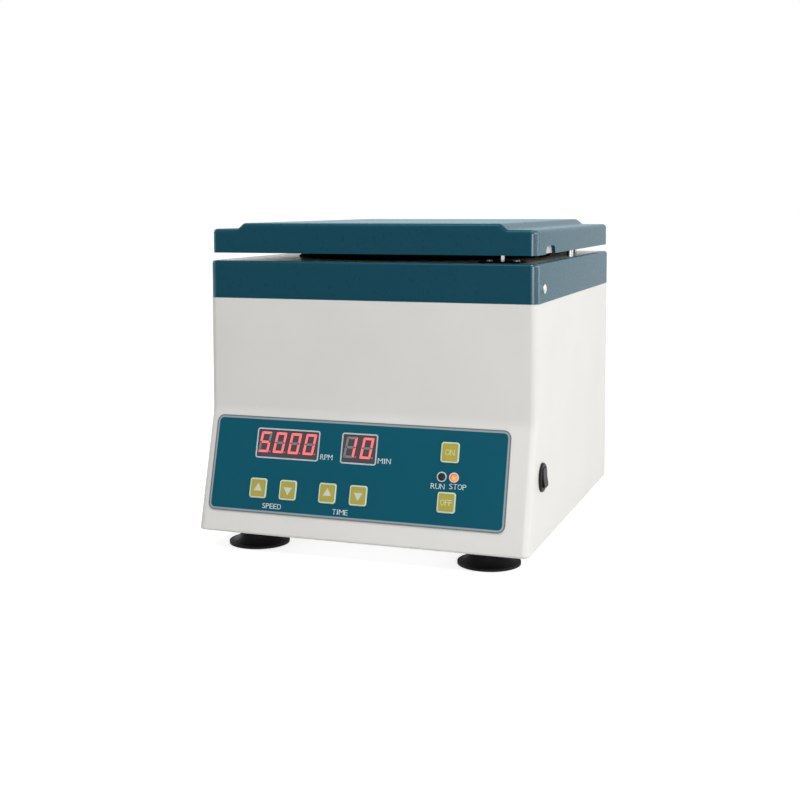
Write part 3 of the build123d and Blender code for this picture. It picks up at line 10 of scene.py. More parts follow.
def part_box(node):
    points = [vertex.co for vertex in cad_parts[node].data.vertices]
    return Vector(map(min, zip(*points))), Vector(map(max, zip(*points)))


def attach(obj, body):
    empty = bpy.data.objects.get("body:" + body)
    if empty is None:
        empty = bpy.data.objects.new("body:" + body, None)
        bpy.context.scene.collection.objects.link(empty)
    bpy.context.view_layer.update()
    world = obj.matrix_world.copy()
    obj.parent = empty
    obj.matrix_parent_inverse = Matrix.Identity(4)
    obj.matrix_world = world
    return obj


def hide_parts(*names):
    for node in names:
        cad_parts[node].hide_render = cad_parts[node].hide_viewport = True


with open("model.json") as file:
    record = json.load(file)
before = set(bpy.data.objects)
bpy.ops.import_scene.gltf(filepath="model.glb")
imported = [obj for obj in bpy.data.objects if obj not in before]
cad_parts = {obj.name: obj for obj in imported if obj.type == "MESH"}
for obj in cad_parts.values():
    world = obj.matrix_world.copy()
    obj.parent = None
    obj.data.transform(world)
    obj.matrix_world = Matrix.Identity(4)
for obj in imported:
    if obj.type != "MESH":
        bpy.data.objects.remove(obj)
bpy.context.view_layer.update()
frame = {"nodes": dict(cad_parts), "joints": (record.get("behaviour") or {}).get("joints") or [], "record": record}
nodes = frame["nodes"]
scene = bpy.context.scene
bpy.ops.object.select_all(action="DESELECT")

MM = 0.001
NEAR = 0.00002  # places closer than this are the same


# ------------------------------------------------------------------ reading the frame


def middle(node):
    """Middle of a CAD node's box."""
    low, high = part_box(node)
    return (low + high) / 2


def joint(name):
    """A joint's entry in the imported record."""
    return next(entry for entry in frame["joints"] if entry["name"] == name)


press = Vector(joint("on_key_press")["axis"]).normalized()
PANEL_OUT = -press  # out of the sloping control front
PANEL_RIGHT = Vector((1, 0, 0))
PANEL_UP = PANEL_OUT.cross(PANEL_RIGHT)


class Face:
    """The outermost flat of a CAD node on the control front: its middle and its half sizes."""

    def __init__(self, node):
        points = [vertex.co for vertex in nodes[node].data.vertices]
        height = max(point.dot(PANEL_OUT) for point in points)
        flat = [point for point in points if point.dot(PANEL_OUT) > height - NEAR]
        across = [point.dot(PANEL_RIGHT) for point in flat]
        along = [point.dot(PANEL_UP) for point in flat]
        self.x = (min(across) + max(across)) / 2
        self.y = (min(along) + max(along)) / 2
        self.height = height
        self.half_width = (max(across) - min(across)) / 2
        self.half_height = (max(along) - min(along)) / 2

    def place(self, x=0.0, y=0.0, lift=0.0):
        """Matrix of a spot on the face, X to the right, Y up the slope, Z out of it."""
        on_face = PANEL_RIGHT * (self.x + x) + PANEL_UP * (self.y + y)
        spot = on_face + PANEL_OUT * (self.height + lift)
        columns = Matrix((PANEL_RIGHT, PANEL_UP, PANEL_OUT)).transposed().to_4x4()
        return Matrix.Translation(spot) @ columns


label = Face("control_label")
windows = {name: Face(name) for name in ("speed_display", "time_display")}
key_names = ("speed_up_key", "speed_down_key", "time_up_key", "time_down_key", "on_key", "off_key")
keys = {name: Face(name) for name in key_names}
lamps = {name: Face(name) for name in ("run_lamp", "stop_lamp")}
ROTOR_AXIS = (0.0, middle("plate_rotor").y, 0.0)  # a spot on it


# ------------------------------------------------------------------ shader language


class Value:
    """A socket among a material's or the world's nodes; arithmetic on it adds Math nodes."""

    def __init__(self, owner, socket):
        self.owner = owner
        self.socket = socket

    def math(self, operation, *others, clamp=False):
        made = self.owner.node("ShaderNodeMath", {"operation": operation, "use_clamp": clamp})
        for place, value in enumerate((self, *others)):
            self.owner.feed(made.inputs[place], value)
        return Value(self.owner, made.outputs[0])

    def __add__(self, other):
        return self.math("ADD", other)

    def __sub__(self, other):
        return self.math("SUBTRACT", other)

    def __rsub__(self, other):
        return (self * -1.0).math("ADD", other)

    def __mul__(self, other):
        return self.math("MULTIPLY", other)

    def __truediv__(self, other):
        return self.math("DIVIDE", other)

    __radd__ = __add__
    __rmul__ = __mul__

    def size(self):
        return self.math("ABSOLUTE")

    def above(self, edge, soft):
        """0 below an edge and 1 above it, with a soft step."""
        return ((self - edge) / soft + 0.5).math("MULTIPLY", 1.0, clamp=True)

    def below(self, edge, soft):
        return 1.0 - self.above(edge, soft)


class Nodes:
    """The nodes of a material or of the world."""

    def __init__(self, owner):
        owner.use_nodes = True
        self.tree = owner.node_tree

    def feed(self, socket, value):
        if isinstance(value, Value):
            self.tree.links.new(value.socket, socket)
        else:
            socket.default_value = value

    def node(self, kind, settings=None, stops=(), **inputs):
        """A node: its settings, or its ramp's settings and stops, then its sockets."""
        made = self.tree.nodes.new(kind)
        for name, value in (settings or {}).items():
            setattr(made.color_ramp if stops else made, name, value)
        for number, (position, color) in enumerate(stops):
            stop = made.color_ramp.elements[number]
            stop.position, stop.color = position, (*color, 1.0)
        for name, value in inputs.items():
            self.feed(made.inputs[name.replace("_", " ")], value)
        return made

    def mix(self, share, first, second):
        made = self.node("ShaderNodeMix", {"data_type": "RGBA"})
        self.feed(made.inputs["Factor"], share)
        for socket, value in ((made.inputs[6], first), (made.inputs[7], second)):
            self.feed(socket, value if isinstance(value, Value) else (*value, 1.0))
        return Value(self, made.outputs[2])


class Finish(Nodes):
    """A material round one Principled shader."""

    def __init__(self, name, color, roughness, **inputs):
        self.material = bpy.data.materials.new(name)
        super().__init__(self.material)
        self.shader = self.tree.nodes["Principled BSDF"]
        self.set("Base Color", (*color, 1.0))
        self.set("Roughness", roughness)
        for key, value in inputs.items():
            self.set(key.replace("_", " "), value)

    def set(self, name, value):
        self.feed(self.shader.inputs[name], value)

    def place(self, matrix=None):
        """Object coordinates, or with a matrix the same in that matrix's own frame."""
        coordinates = Value(self, self.node("ShaderNodeTexCoord").outputs["Object"])
        if matrix is None:
            return coordinates
        back = matrix.inverted()
        turned = self.node(
            "ShaderNodeMapping",
            Vector=coordinates,
            Location=back.to_translation(),
            Rotation=back.to_euler(),
        )
        return Value(self, turned.outputs[0])

    def axes(self, place):
        split = self.node("ShaderNodeSeparateXYZ", Vector=place)
        return [Value(self, output) for output in split.outputs]

    def noise(self, scale, detail=2.0, roughness=0.5, place=None):
        made = self.node(
            "ShaderNodeTexNoise",
            Vector=place or self.place(),
            Scale=scale,
            Detail=detail,
            Roughness=roughness,
        )
        return Value(self, made.outputs["Fac"])

    def cells(self, scale):
        made = self.node("ShaderNodeTexVoronoi", Vector=self.place(), Scale=scale)
        return Value(self, made.outputs["Distance"])

    def stretched(self, x, y, z):
        """Object coordinates scaled apart along the axes."""
        made = self.node("ShaderNodeMapping", Vector=self.place(), Scale=(x, y, z))
        return Value(self, made.outputs[0])

    def bump(self, height, depth):
        made = self.node("ShaderNodeBump", Height=height, Distance=depth, Strength=1.0)
        self.set("Normal", Value(self, made.outputs[0]))

    def rough(self, level, spread, scale, detail=2.0):
        """Roughness that wanders by a spread about its level."""
        self.set("Roughness", self.noise(scale, detail) * spread + (level - spread / 2))

    def tint(self, color, spread, scale, detail=3.0):
        """A colour that drifts a little darker and lighter over the surface."""
        dark = [part * (1 - spread) for part in color]
        light = [min(1.0, part * (1 + spread)) for part in color]
        return self.mix(self.noise(scale, detail), dark, light)


# ------------------------------------------------------------------ finishes

# colours are linear shares of red, green and blue; depths and sizes are in metres
WHITE = (0.665, 0.658, 0.635)
TEAL = (0.008, 0.053, 0.081)
LABEL_TEAL = (0.003, 0.071, 0.107)
# the label's grey printed rim is drawn as raised: its dark outer band is painted shade, its pale inner band
# painted light
RIM_PAINTED_SHADE = (0.13, 0.14, 0.155)
RIM_PALE = (0.27, 0.315, 0.335)
INK = (0.62, 0.72, 0.72)
OLIVE = (0.36, 0.31, 0.045)
KEY_EDGE = (0.50, 0.62, 0.50)
BEIGE = (0.47, 0.455, 0.42)
# painted shade for the band inside a key's printed rim
KEY_PAINTED_SHADE = (0.24, 0.21, 0.04)
STEEL = (0.62, 0.62, 0.61)
BLACK = (0.006, 0.006, 0.007)
LAMP_RING = (0.56, 0.62, 0.65)
NO_LIGHT = (0.0, 0.0, 0.0)

LABEL_CORNER = 6.0 * MM
LABEL_RIM = 2.3 * MM  # the label's printed rim, and its darker outer part, which is painted shade
LABEL_PAINTED_SHADE_BAND = 0.9 * MM
KEY_OVERLAP = 0.4 * MM  # a key's print runs on over its rounded edge
KEY_CORNER = 2.4 * MM
KEY_RIM = 1.25 * MM
KEY_PAINTED_SHADE_END = 2.0 * MM  # the painted shade inside a key's rim ends here
LENS_RADIUS = 3.15 * MM
BRIGHT_SPOT_OFFSET = 0.5 * MM  # of the lens's palest spot, to the right and down: the glow's heart on a lit lens, a painted highlight on an unlit one
POLISHED = 5.5 * MM  # width of the polished upright corners
FINE = (300.0, 300.0, 300.0)  # a metal's marks, as long as they are wide


def shell_paint(name, color, roughness, grain, depth, ior):
    """Glossy moulding or paint with a fine orange-peel surface."""
    finish = Finish(name, color, roughness, IOR=ior)
    finish.set("Base Color", finish.tint(color, spread=0.045, scale=14.0))
    finish.rough(roughness, spread=0.05, scale=220.0, detail=3.0)
    waves = finish.noise(60.0) * 0.6
    finish.bump(finish.noise(grain) + waves, depth)
    return finish


def brushed_metal(name, color, roughness, stretch, depth=0.015 * MM):
    """Metal with fine marks drawn along one axis."""
    finish = Finish(name, color, roughness, Metallic=1.0)
    marks = finish.noise(1.0, detail=4.0, roughness=0.6, place=finish.stretched(*stretch))
    in_the_marks = [part * 0.86 for part in color]
    finish.set("Base Color", finish.mix(marks, in_the_marks, color))
    handled = finish.noise(35.0) * 0.05
    finish.set("Roughness", marks * 0.16 + (roughness - 0.06) + handled)
    finish.bump(marks, depth)
    return finish


def turned_metal(name, color, roughness, pitch=0.7 * MM):
    """Metal with turning marks round the rotor's axis."""
    finish = Finish(name, color, roughness, Metallic=1.0)
    x, y, z = finish.axes(finish.place(Matrix.Translation(ROTOR_AXIS)))
    radius = (x * x + y * y).math("SQRT")
    rings = ((radius + z) * (2 * pi / pitch)).math("SINE") * 0.5 + 0.5
    worn = [part * 0.93 for part in color]
    finish.set("Base Color", finish.mix(finish.noise(40.0), worn, color))
    finish.rough(roughness, spread=0.06, scale=40.0)
    finish.bump(rings, 0.004 * MM)
    return finish


def moulded(name, color, roughness, grain=900.0, depth=0.03 * MM, **inputs):
    """Moulded plastic or rubber with a fine grain."""
    finish = Finish(name, color, roughness, **inputs)
    finish.set("Base Color", finish.tint(color, spread=0.08, scale=45.0))
    finish.rough(roughness, spread=0.14, scale=120.0, detail=3.0)
    finish.bump(finish.cells(grain) + finish.noise(grain / 2), depth)
    return finish


def rounded_box(finish, x, y, half_width, half_height, radius):
    """Signed distance to a rounded rectangle round the origin of x and y."""
    across = x.size() - (half_width - radius)
    along = y.size() - (half_height - radius)
    out_x, out_y = across.math("MAXIMUM", 0.0), along.math("MAXIMUM", 0.0)
    outside = (out_x * out_x + out_y * out_y).math("SQRT")
    inside = across.math("MAXIMUM", along).math("MINIMUM", 0.0)
    return outside + inside - radius


def label_film():
    """Printed film: teal field, grey printed rim with painted shade on its outer band and painted light inside it,
    fine matt texture.
    """
    finish = Finish("label_film", LABEL_TEAL, 0.32, IOR=1.30)
    finish.set("Specular Tint", (0.35, 0.8, 1.0, 1.0))
    x, y, _ = finish.axes(finish.place(label.place()))
    edge = rounded_box(finish, x, y, label.half_width, label.half_height, LABEL_CORNER)
    # painted shade on the rim's outer band, painted light on its inner band
    rim = finish.mix(edge.above(-LABEL_PAINTED_SHADE_BAND, 0.7 * MM), RIM_PALE, RIM_PAINTED_SHADE)
    field = finish.tint(LABEL_TEAL, spread=0.05, scale=9.0)
    finish.set("Base Color", finish.mix(edge.above(-LABEL_RIM, 0.3 * MM), field, rim))
    finish.rough(0.31, spread=0.08, scale=150.0)
    waves = finish.noise(25.0) * 1.5
    finish.bump(finish.noise(1500.0) + waves, 0.02 * MM)
    return finish


def key_film(name):
    """Olive key with a pale printed edge and a band of painted shade just inside it."""
    face = keys[name]
    finish = Finish("film_" + name, OLIVE, 0.34, IOR=1.45)
    x, y, _ = finish.axes(finish.place(face.place()))
    half_width, half_height = face.half_width + KEY_OVERLAP, face.half_height + KEY_OVERLAP
    edge = rounded_box(finish, x, y, half_width, half_height, KEY_CORNER)
    rim = edge.above(-KEY_RIM, 0.18 * MM)
    # painted shade in a band just inside the key's printed rim
    painted_shade = edge.below(-KEY_RIM, 0.2 * MM) * edge.above(-KEY_PAINTED_SHADE_END, 0.9 * MM)
    field = finish.mix(painted_shade * 0.35, finish.tint(OLIVE, spread=0.07, scale=120.0), KEY_PAINTED_SHADE)
    finish.set("Base Color", finish.mix(rim, field, KEY_EDGE))
    finish.rough(0.34, spread=0.10, scale=260.0)
    waves = finish.noise(200.0) * 1.4
    finish.bump(finish.noise(1800.0) + waves, 0.03 * MM)
    return finish


def glow(name, color, strength, base):
    """Lit part: its own light over a coloured body."""
    finish = Finish(name, base, 0.35)
    finish.set("Emission Strength", strength)
    finish.set("Emission Color", finish.tint(color, spread=0.10, scale=700.0))
    return finish


def lamp_finish(name, color, bright_spot, strength):
    """Lens in a pale ring: the lens is palest near a spot off its middle, which is the glow's heart on a lit lens
    and a painted highlight on an unlit one; it may be lit.
    """
    face = lamps[name]
    finish = Finish(name + "_lens", color, 0.25, IOR=1.25)
    x, y, _ = finish.axes(finish.place(face.place()))
    ring = (x * x + y * y).math("SQRT").above(LENS_RADIUS, 0.15 * MM)
    # the pale spot: the glow's heart on a lit lens, a painted highlight on an unlit one
    x, y, _ = finish.axes(finish.place(face.place(BRIGHT_SPOT_OFFSET, -BRIGHT_SPOT_OFFSET)))
    near_bright_spot = (x * x + y * y).math("SQRT").below(LENS_RADIUS * 0.5, LENS_RADIUS)
    lens = finish.mix(near_bright_spot, finish.tint(color, spread=0.1, scale=600.0), bright_spot)
    finish.set("Base Color", finish.mix(ring, lens, LAMP_RING))
    finish.set("Metallic", ring * 0.5)
    finish.set("Roughness", ring * 0.16 + finish.noise(300.0) * 0.08 + 0.14)
    finish.set("Emission Color", finish.mix(ring, lens, NO_LIGHT))
    finish.set("Emission Strength", strength)
    return finish


def polish_corners(finish):
    """A clear coat on the upright corners of the collar and of the lid over it."""
    low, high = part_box("top_collar")
    centre, half = (low + high) / 2, (high - low) / 2
    x, y, _ = finish.axes(finish.place())
    round_x = (x - centre.x).size().above(half.x - POLISHED, POLISHED / 4)
    round_y = (y - centre.y).size().above(half.y - POLISHED, POLISHED / 4)
    finish.set("Coat Weight", round_x * round_y)
    finish.set("Coat IOR", 1.62)
    finish.set("Coat Roughness", 0.26)
    finish.set("Coat Tint", (0.55, 0.9, 1.0, 1.0))


white_shell = shell_paint("white_shell", WHITE, 0.34, 700.0, 0.00002, 1.28)
teal_shell = shell_paint("teal_shell", TEAL, 0.28, 420.0, 0.000001, 1.22)
polish_corners(teal_shell)
teal_shell.set("Specular Tint", (0.25, 0.85, 1.0, 1.0))
teal_shell.set("Sheen Weight", 0.12)
teal_shell.set("Sheen Roughness", 0.35)
teal_shell.set("Sheen Tint", (0.05, 0.75, 1.0, 1.0))
pale_plate = moulded("pale_plate", BEIGE, 0.42, 1100.0, 0.00003)
deck_gloss = moulded("deck_gloss", BEIGE, 0.20, 1100.0, 0.000006)
sheet_steel = brushed_metal("sheet_steel", (0.56, 0.56, 0.55), 0.34, (900.0, 25.0, 25.0))
hinge_steel = brushed_metal("hinge_steel", (0.62, 0.62, 0.60), 0.30, (40.0, 40.0, 1400.0))
bright_steel = brushed_metal("bright_steel", (0.78, 0.78, 0.77), 0.20, FINE, 0.000006)
bowl_steel = turned_metal("bowl_steel", STEEL, 0.36)
dull_zinc = brushed_metal("dull_zinc", (0.20, 0.20, 0.20), 0.34, FINE, 0.000006)
post_steel = brushed_metal("post_steel", (0.42, 0.43, 0.43), 0.24, (30.0, 30.0, 900.0), 0.000006)
rotor_alloy = turned_metal("rotor_alloy", (0.66, 0.67, 0.68), 0.36, 1.1 * MM)
cast_alloy = moulded("cast_alloy", (0.55, 0.56, 0.57), 0.42, 500.0, 0.00006, Metallic=1.0)
motor_paint = moulded("motor_paint", (0.035, 0.036, 0.04), 0.38, 700.0, 0.00003)
black_rubber = moulded("black_rubber", BLACK, 0.60, 900.0, 0.00004, IOR=1.25)
# near-black foam for the gasket, which the steel lock plate also takes as painted shade
gasket_black_and_painted_shade = moulded("gasket_black_and_painted_shade", (0.004, 0.004, 0.004), 0.92, 1400.0, 0.00005, IOR=1.12)
black_plastic = moulded("black_plastic", (0.009, 0.0095, 0.0105), 0.36, 1300.0, 0.00002, IOR=1.22)
laminations = brushed_metal("laminations", (0.20, 0.19, 0.18), 0.45, (60.0, 60.0, 2200.0), 0.00004)
board_green = moulded("board_green", (0.015, 0.12, 0.05), 0.34, 600.0, 0.00003)
window_dark = moulded("window_dark", (0.034, 0.030, 0.040), 0.22, 1500.0, 0.000008)
segment_lit = glow("segment_lit", (1.0, 0.165, 0.175), 0.95, (0.5, 0.05, 0.05))
segment_unlit = moulded("segment_unlit", (0.16, 0.165, 0.165), 0.40, 1500.0, 0.00001)
legend_ink = moulded("legend_ink", INK, 0.45, 1600.0, 0.000006)
arrow_ink = moulded("arrow_ink", (0.50, 0.53, 0.49), 0.45, 1600.0, 0.000006)
key_ink = moulded("key_ink", (0.58, 0.61, 0.40), 0.45, 1600.0, 0.000006)
frame_ink = moulded("frame_ink", (0.42, 0.48, 0.50), 0.40, 1600.0, 0.000006)

cad_finishes = {
    white_shell: ("housing",),
    teal_shell: ("top_collar", "lid_shell"),
    pale_plate: ("lid_liner",),
    deck_gloss: ("deck_plate",),
    sheet_steel: ("base_plate", "motor_plate", "lock_body"),
    hinge_steel: ("fixed_leaves", "lid_leaves"),
    bright_steel: (
        "base_screws", "foot_bolts", "collar_screws", "lid_striker", "hinge_pins",
        "hinge_screws", "lid_hinge_screws", "lock_bolt", "lock_screws", "inlet_contacts",
    ),
    post_steel: ("rest_posts",),
    bowl_steel: ("chamber_bowl", "motor_bearings", "motor_shaft", "rotor_hub"),
    rotor_alloy: ("plate_rotor", "plate_holders"),
    cast_alloy: ("motor_end_bell",),
    motor_paint: ("motor_can",),
    black_rubber: (
        "foot_front_left", "foot_front_right", "foot_rear_left", "foot_rear_right",
        "shaft_boot", "motor_dampers",
    ),
    # the steel lock plate is painted this black as the shade in the gap under the lid
    gasket_black_and_painted_shade: ("bowl_gasket", "lock_plate"),
    black_plastic: (
        "rotor_nut", "board_posts", "switch_bezel", "power_rocker", "power_inlet",
        "lid_switch", "rear_grille",
    ),
    laminations: ("motor_stator", "motor_core", "transformer"),
    board_green: ("control_board", "power_board"),
    label_film(): ("control_label",),
    window_dark: ("speed_display", "time_display"),
    # the unlit RUN lens's paler spot is a painted highlight
    lamp_finish("run_lamp", (0.008, 0.010, 0.012), (0.022, 0.028, 0.032), 0.0): ("run_lamp",),
    lamp_finish("stop_lamp", (0.80, 0.05, 0.03), (1.0, 0.40, 0.07), 0.95): ("stop_lamp",),
}
for finish, names in cad_finishes.items():
    for name in names:
        nodes[name].data.materials.clear()
        nodes[name].data.materials.append(finish.material)
for name in key_names:
    nodes[name].data.materials.clear()
    nodes[name].data.materials.append(key_film(name).material)


# ------------------------------------------------------------------ modelling helpers


@contextmanager
def editing(piece):
    """Edit mode on one piece."""
    bpy.ops.object.select_all(action="DESELECT")
    bpy.context.view_layer.objects.active = piece
    piece.select_set(True)
    bpy.ops.object.mode_set(mode="EDIT")
    yield
    bpy.ops.object.mode_set(mode="OBJECT")


def pick(piece, mode, test):
    """In edit mode, selects the vertices, edges or faces whose middle passes a test."""
    bpy.ops.mesh.select_mode(type=mode)
    mesh = bmesh.from_edit_mesh(piece.data)
    groups = {"VERT": mesh.verts, "EDGE": mesh.edges, "FACE": mesh.faces}
    for part in mesh.verts[:] + mesh.edges[:] + mesh.faces[:]:
        part.select_set(False)
    for part in groups[mode]:
        if mode == "VERT":
            centre = part.co
        elif mode == "EDGE":
            centre = (part.verts[0].co + part.verts[1].co) / 2
        else:
            centre = part.calc_center_median()
        if test(centre):
            part.select_set(True)
    mesh.select_flush_mode()
    bmesh.update_edit_mesh(piece.data)


def thicken(height):
    """In edit mode, raises every face by a height and turns the normals outward."""
    bpy.ops.mesh.select_all(action="SELECT")
    bpy.ops.mesh.extrude_region_move(TRANSFORM_OT_translate={"value": (0, 0, height)})
    bpy.ops.mesh.select_all(action="SELECT")
    bpy.ops.mesh.normals_make_consistent(inside=False)


def start(kind, name, **settings):
    """A primitive, which becomes the active piece."""
    bpy.ops.object.select_all(action="DESELECT")
    getattr(bpy.ops.mesh, f"primitive_{kind}_add")(**settings)
    piece = bpy.context.object
    piece.name = piece.data.name = name
    return piece


def settle(piece, place):
    """Puts a piece's place into its mesh and leaves its object at the origin."""
    bpy.context.view_layer.update()
    piece.data.transform(place @ piece.matrix_world)
    piece.matrix_world = Matrix.Identity(4)


def copy_at(piece, place, name):
    """A copy with its own mesh, set at a place."""
    twin = piece.copy()
    twin.data = piece.data.copy()
    twin.name = twin.data.name = name
    scene.collection.objects.link(twin)
    twin.data.transform(place)
    return twin


def join(pieces, name):
    """One piece from several."""
    bpy.ops.object.select_all(action="DESELECT")
    for piece in pieces:
        piece.select_set(True)
    bpy.context.view_layer.objects.active = pieces[0]
    if len(pieces) > 1:
        bpy.ops.object.join()
    whole = bpy.context.view_layer.objects.active
    whole.name = whole.data.name = name
    return whole


def modify(piece, kind, **settings):
    """Adds a modifier and applies it."""
    bpy.ops.object.select_all(action="DESELECT")
    bpy.context.view_layer.objects.active = piece
    piece.select_set(True)
    modifier = piece.modifiers.new(kind.lower(), kind)
    for name, value in settings.items():
        setattr(modifier, name, value)
    bpy.ops.object.modifier_apply(modifier=modifier.name)


def dress(piece, finish, body, smooth=30):
    """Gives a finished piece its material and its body."""
    piece.data.materials.clear()
    piece.data.materials.append(finish.material)
    bpy.ops.object.select_all(action="DESELECT")
    piece.select_set(True)
    bpy.context.view_layer.objects.active = piece
    bpy.ops.object.shade_smooth_by_angle(angle=radians(smooth))
    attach(piece, body)
    return piece


def discard(piece):
    bpy.data.objects.remove(piece)


# ------------------------------------------------------------------ camera

LENS = 56.88
FRAME_SHIFT = -0.12
CAMERA_PLACE = Vector((0.36178, -1.07756, 0.28244))
YAW, PITCH, ROLL = 0.3409, -0.0785, -0.0034

camera = bpy.data.objects.new("camera", bpy.data.cameras.new("camera"))
scene.collection.objects.link(camera)
camera.matrix_world = (
    Matrix.Translation(CAMERA_PLACE)
    @ Matrix.Rotation(YAW, 4, "Z")
    @ Matrix.Rotation(pi / 2 + PITCH, 4, "X")
    @ Matrix.Rotation(ROLL, 4, "Z")
)
camera.data.lens = LENS
camera.data.shift_y = FRAME_SHIFT
scene.camera = camera


# ------------------------------------------------------------------ floor and light

MIRROR_RAYS = ("Is Glossy Ray", "Is Transmission Ray")
FLOOR_SIZE = 60
FLOOR_DROP = 0.2 * MM
FLOOR_GREY = (0.62, 0.62, 0.62)
FLOOR_LIFT = 0.72  # light added to the floor for the eye
DIM_SIDE = Vector((-0.55, -0.83, 0.05)).normalized()
SIDE_LIGHT, DIM_LIGHT = (0.50, 0.50, 0.50), (0.02, 0.02, 0.02)
DIM_REACH = 0.9  # the light is dimmest where a direction is this near to the dim side


def studio_floor():
    """Pale floor that the eye sees white with the object's shadow on it, and mirrors white."""
    floor = start("plane", "floor", size=1.0, location=(0, 0, -FLOOR_DROP))
    floor.scale = (FLOOR_SIZE, FLOOR_SIZE, 1)
    settle(floor, Matrix.Identity(4))
    finish = Finish("floor_paper", FLOOR_GREY, 0.8)
    path = finish.node("ShaderNodeLightPath").outputs
    link = finish.tree.links.new
    lifted = finish.node("ShaderNodeAddShader")
    link(finish.shader.outputs[0], lifted.inputs[0])
    link(finish.node("ShaderNodeEmission", Strength=FLOOR_LIFT).outputs[0], lifted.inputs[1])
    to_eye = finish.node("ShaderNodeMixShader", Fac=Value(finish, path["Is Camera Ray"]))
    link(finish.shader.outputs[0], to_eye.inputs[1])
    link(lifted.outputs[0], to_eye.inputs[2])
    glossy, through = (Value(finish, path[ray]) for ray in MIRROR_RAYS)
    to_mirrors = finish.node("ShaderNodeMixShader", Fac=glossy.math("MAXIMUM", through))
    link(to_eye.outputs[0], to_mirrors.inputs[1])
    link(finish.node("ShaderNodeEmission", Strength=1.0).outputs[0], to_mirrors.inputs[2])
    link(to_mirrors.outputs[0], finish.tree.nodes["Material Output"].inputs["Surface"])
    floor.data.materials.append(finish.material)


def studio_world():
    """White all round for the eye; as light, white with a dimmer side in front."""
    scene.world = bpy.data.worlds.new("studio")
    sky = Nodes(scene.world)
    direction = Value(sky, sky.node("ShaderNodeTexCoord").outputs["Generated"])
    toward = sky.node("ShaderNodeVectorMath", {"operation": "DOT_PRODUCT"}, Vector=direction)
    toward.inputs[1].default_value = DIM_SIDE
    dimmed = sky.node(
        "ShaderNodeValToRGB",
        {"interpolation": "EASE"},
        stops=((0.0, SIDE_LIGHT), (DIM_REACH, DIM_LIGHT)),
        Fac=Value(sky, toward.outputs["Value"]),
    )
    path = sky.node("ShaderNodeLightPath").outputs
    shown = Value(sky, path["Is Camera Ray"])
    for ray in MIRROR_RAYS:
        shown = shown.math("MAXIMUM", Value(sky, path[ray]))
    background = sky.tree.nodes["Background"]
    light = sky.mix(shown, Value(sky, dimmed.outputs["Color"]), (1.0, 1.0, 1.0))
    sky.feed(background.inputs["Color"], light)
    sky.feed(background.inputs["Strength"], 1.0)


def soft_lamp(name, place, target, width, height, power):
    """Soft box aimed at a point."""
    data = bpy.data.lights.new(name, "AREA")
    data.shape = "RECTANGLE"
    data.size, data.size_y = width, height
    data.energy = power
    lamp = bpy.data.objects.new(name, data)
    lamp.location = place
    lamp.rotation_euler = (Vector(target) - Vector(place)).to_track_quat("-Z", "Y").to_euler()
    scene.collection.objects.link(lamp)


studio_floor()
studio_world()
soft_lamp("right_box", (1.7, -0.35, 0.8), (0, 0, 0.12), 1.0, 1.0, 12.5)
soft_lamp("top_box", (-0.1, -0.55, 1.75), (0, 0, 0.2), 0.9, 0.9, 19.0)
soft_lamp("front_box", (0.84, -1.45, 0.36), (0.14, -0.14, 0.2), 0.70, 0.60, 8.0)
soft_lamp("back_box", (1.50, 0.95, 0.50), (0.14, -0.14, 0.2), 0.35, 0.9, 5.5)
soft_lamp("left_box", (-1.50, 0.60, 0.42), (0, 0, 0.12), 0.8, 0.8, 7.0)


# ------------------------------------------------------------------ displays

SLANT = tan(radians(8))
DIGIT_HEIGHT = 17.0 * MM  # over the outside of the bars
DIGIT_WIDTH = 9.2 * MM
DIGIT_RISE = 0.9 * MM  # above the window's middle
BAR = 1.9 * MM
BAR_GAP = 0.25 * MM
BAR_LIFT = 0.08 * MM
DIGIT_SHIFT = BAR / 3  # to the left, to make room for the point
POINT_RADIUS = BAR * 0.38
POINT_GAP = BAR * 0.2  # from the digit's right side to the point's middle
PITCH_SHARE = 0.985  # of the window's even division
SEGMENTS = {  # the bar's kind, its outer edge's middle as shares of the digit, and its turn
    "a": ("rim_bar", (0, 0.5), 0),
    "b": ("upper_bar", (0.5, 0.25), -pi / 2),
    "c": ("lower_bar", (0.5, -0.25), -pi / 2),
    "d": ("rim_bar", (0, -0.5), pi),
    "e": ("upper_bar", (-0.5, -0.25), pi / 2),
    "f": ("lower_bar", (-0.5, 0.25), pi / 2),
    "g": ("middle_bar", (0, 0), 0),
}
SHAPES = {"0": "abcdef", "1": "bc", "5": "afgcd"}
FRAME_LINE = 1.15 * MM
FRAME_OVERLAP = 0.1 * MM  # of the line and the window
FRAME_CORNER = 2.2 * MM
FRAME_STAND = 0.12 * MM
FRAME_SINK = 0.02 * MM  # of the line's underside in the label


def bar(name, length, left_cut, right_cut, pointed=False):
    """A digit's bar below the X axis, its inner edge cut short by shares of its width; a pointed
    one is cut on both edges and lies across the axis."""

    def is_cut(y):
        return y < -BAR / 4 or pointed and y > BAR / 4

    piece = start("plane", name, size=1.0)
    piece.scale = (length, BAR, 1)
    settle(piece, Matrix.Identity(4))
    with editing(piece):
        if pointed:
            pick(piece, "EDGE", lambda spot: abs(spot.x) > length / 4)
            bpy.ops.mesh.subdivide(number_cuts=1)
        for side, cut in ((-1, left_cut), (1, right_cut)):
            pick(piece, "VERT", lambda spot: spot.x * side > 0 and is_cut(spot.y))
            bpy.ops.transform.translate(value=(-side * cut * BAR, 0, 0))
        thicken(BAR_LIFT)
    if not pointed:
        piece.data.transform(Matrix.Translation((0, -BAR / 2, 0)))
    return piece


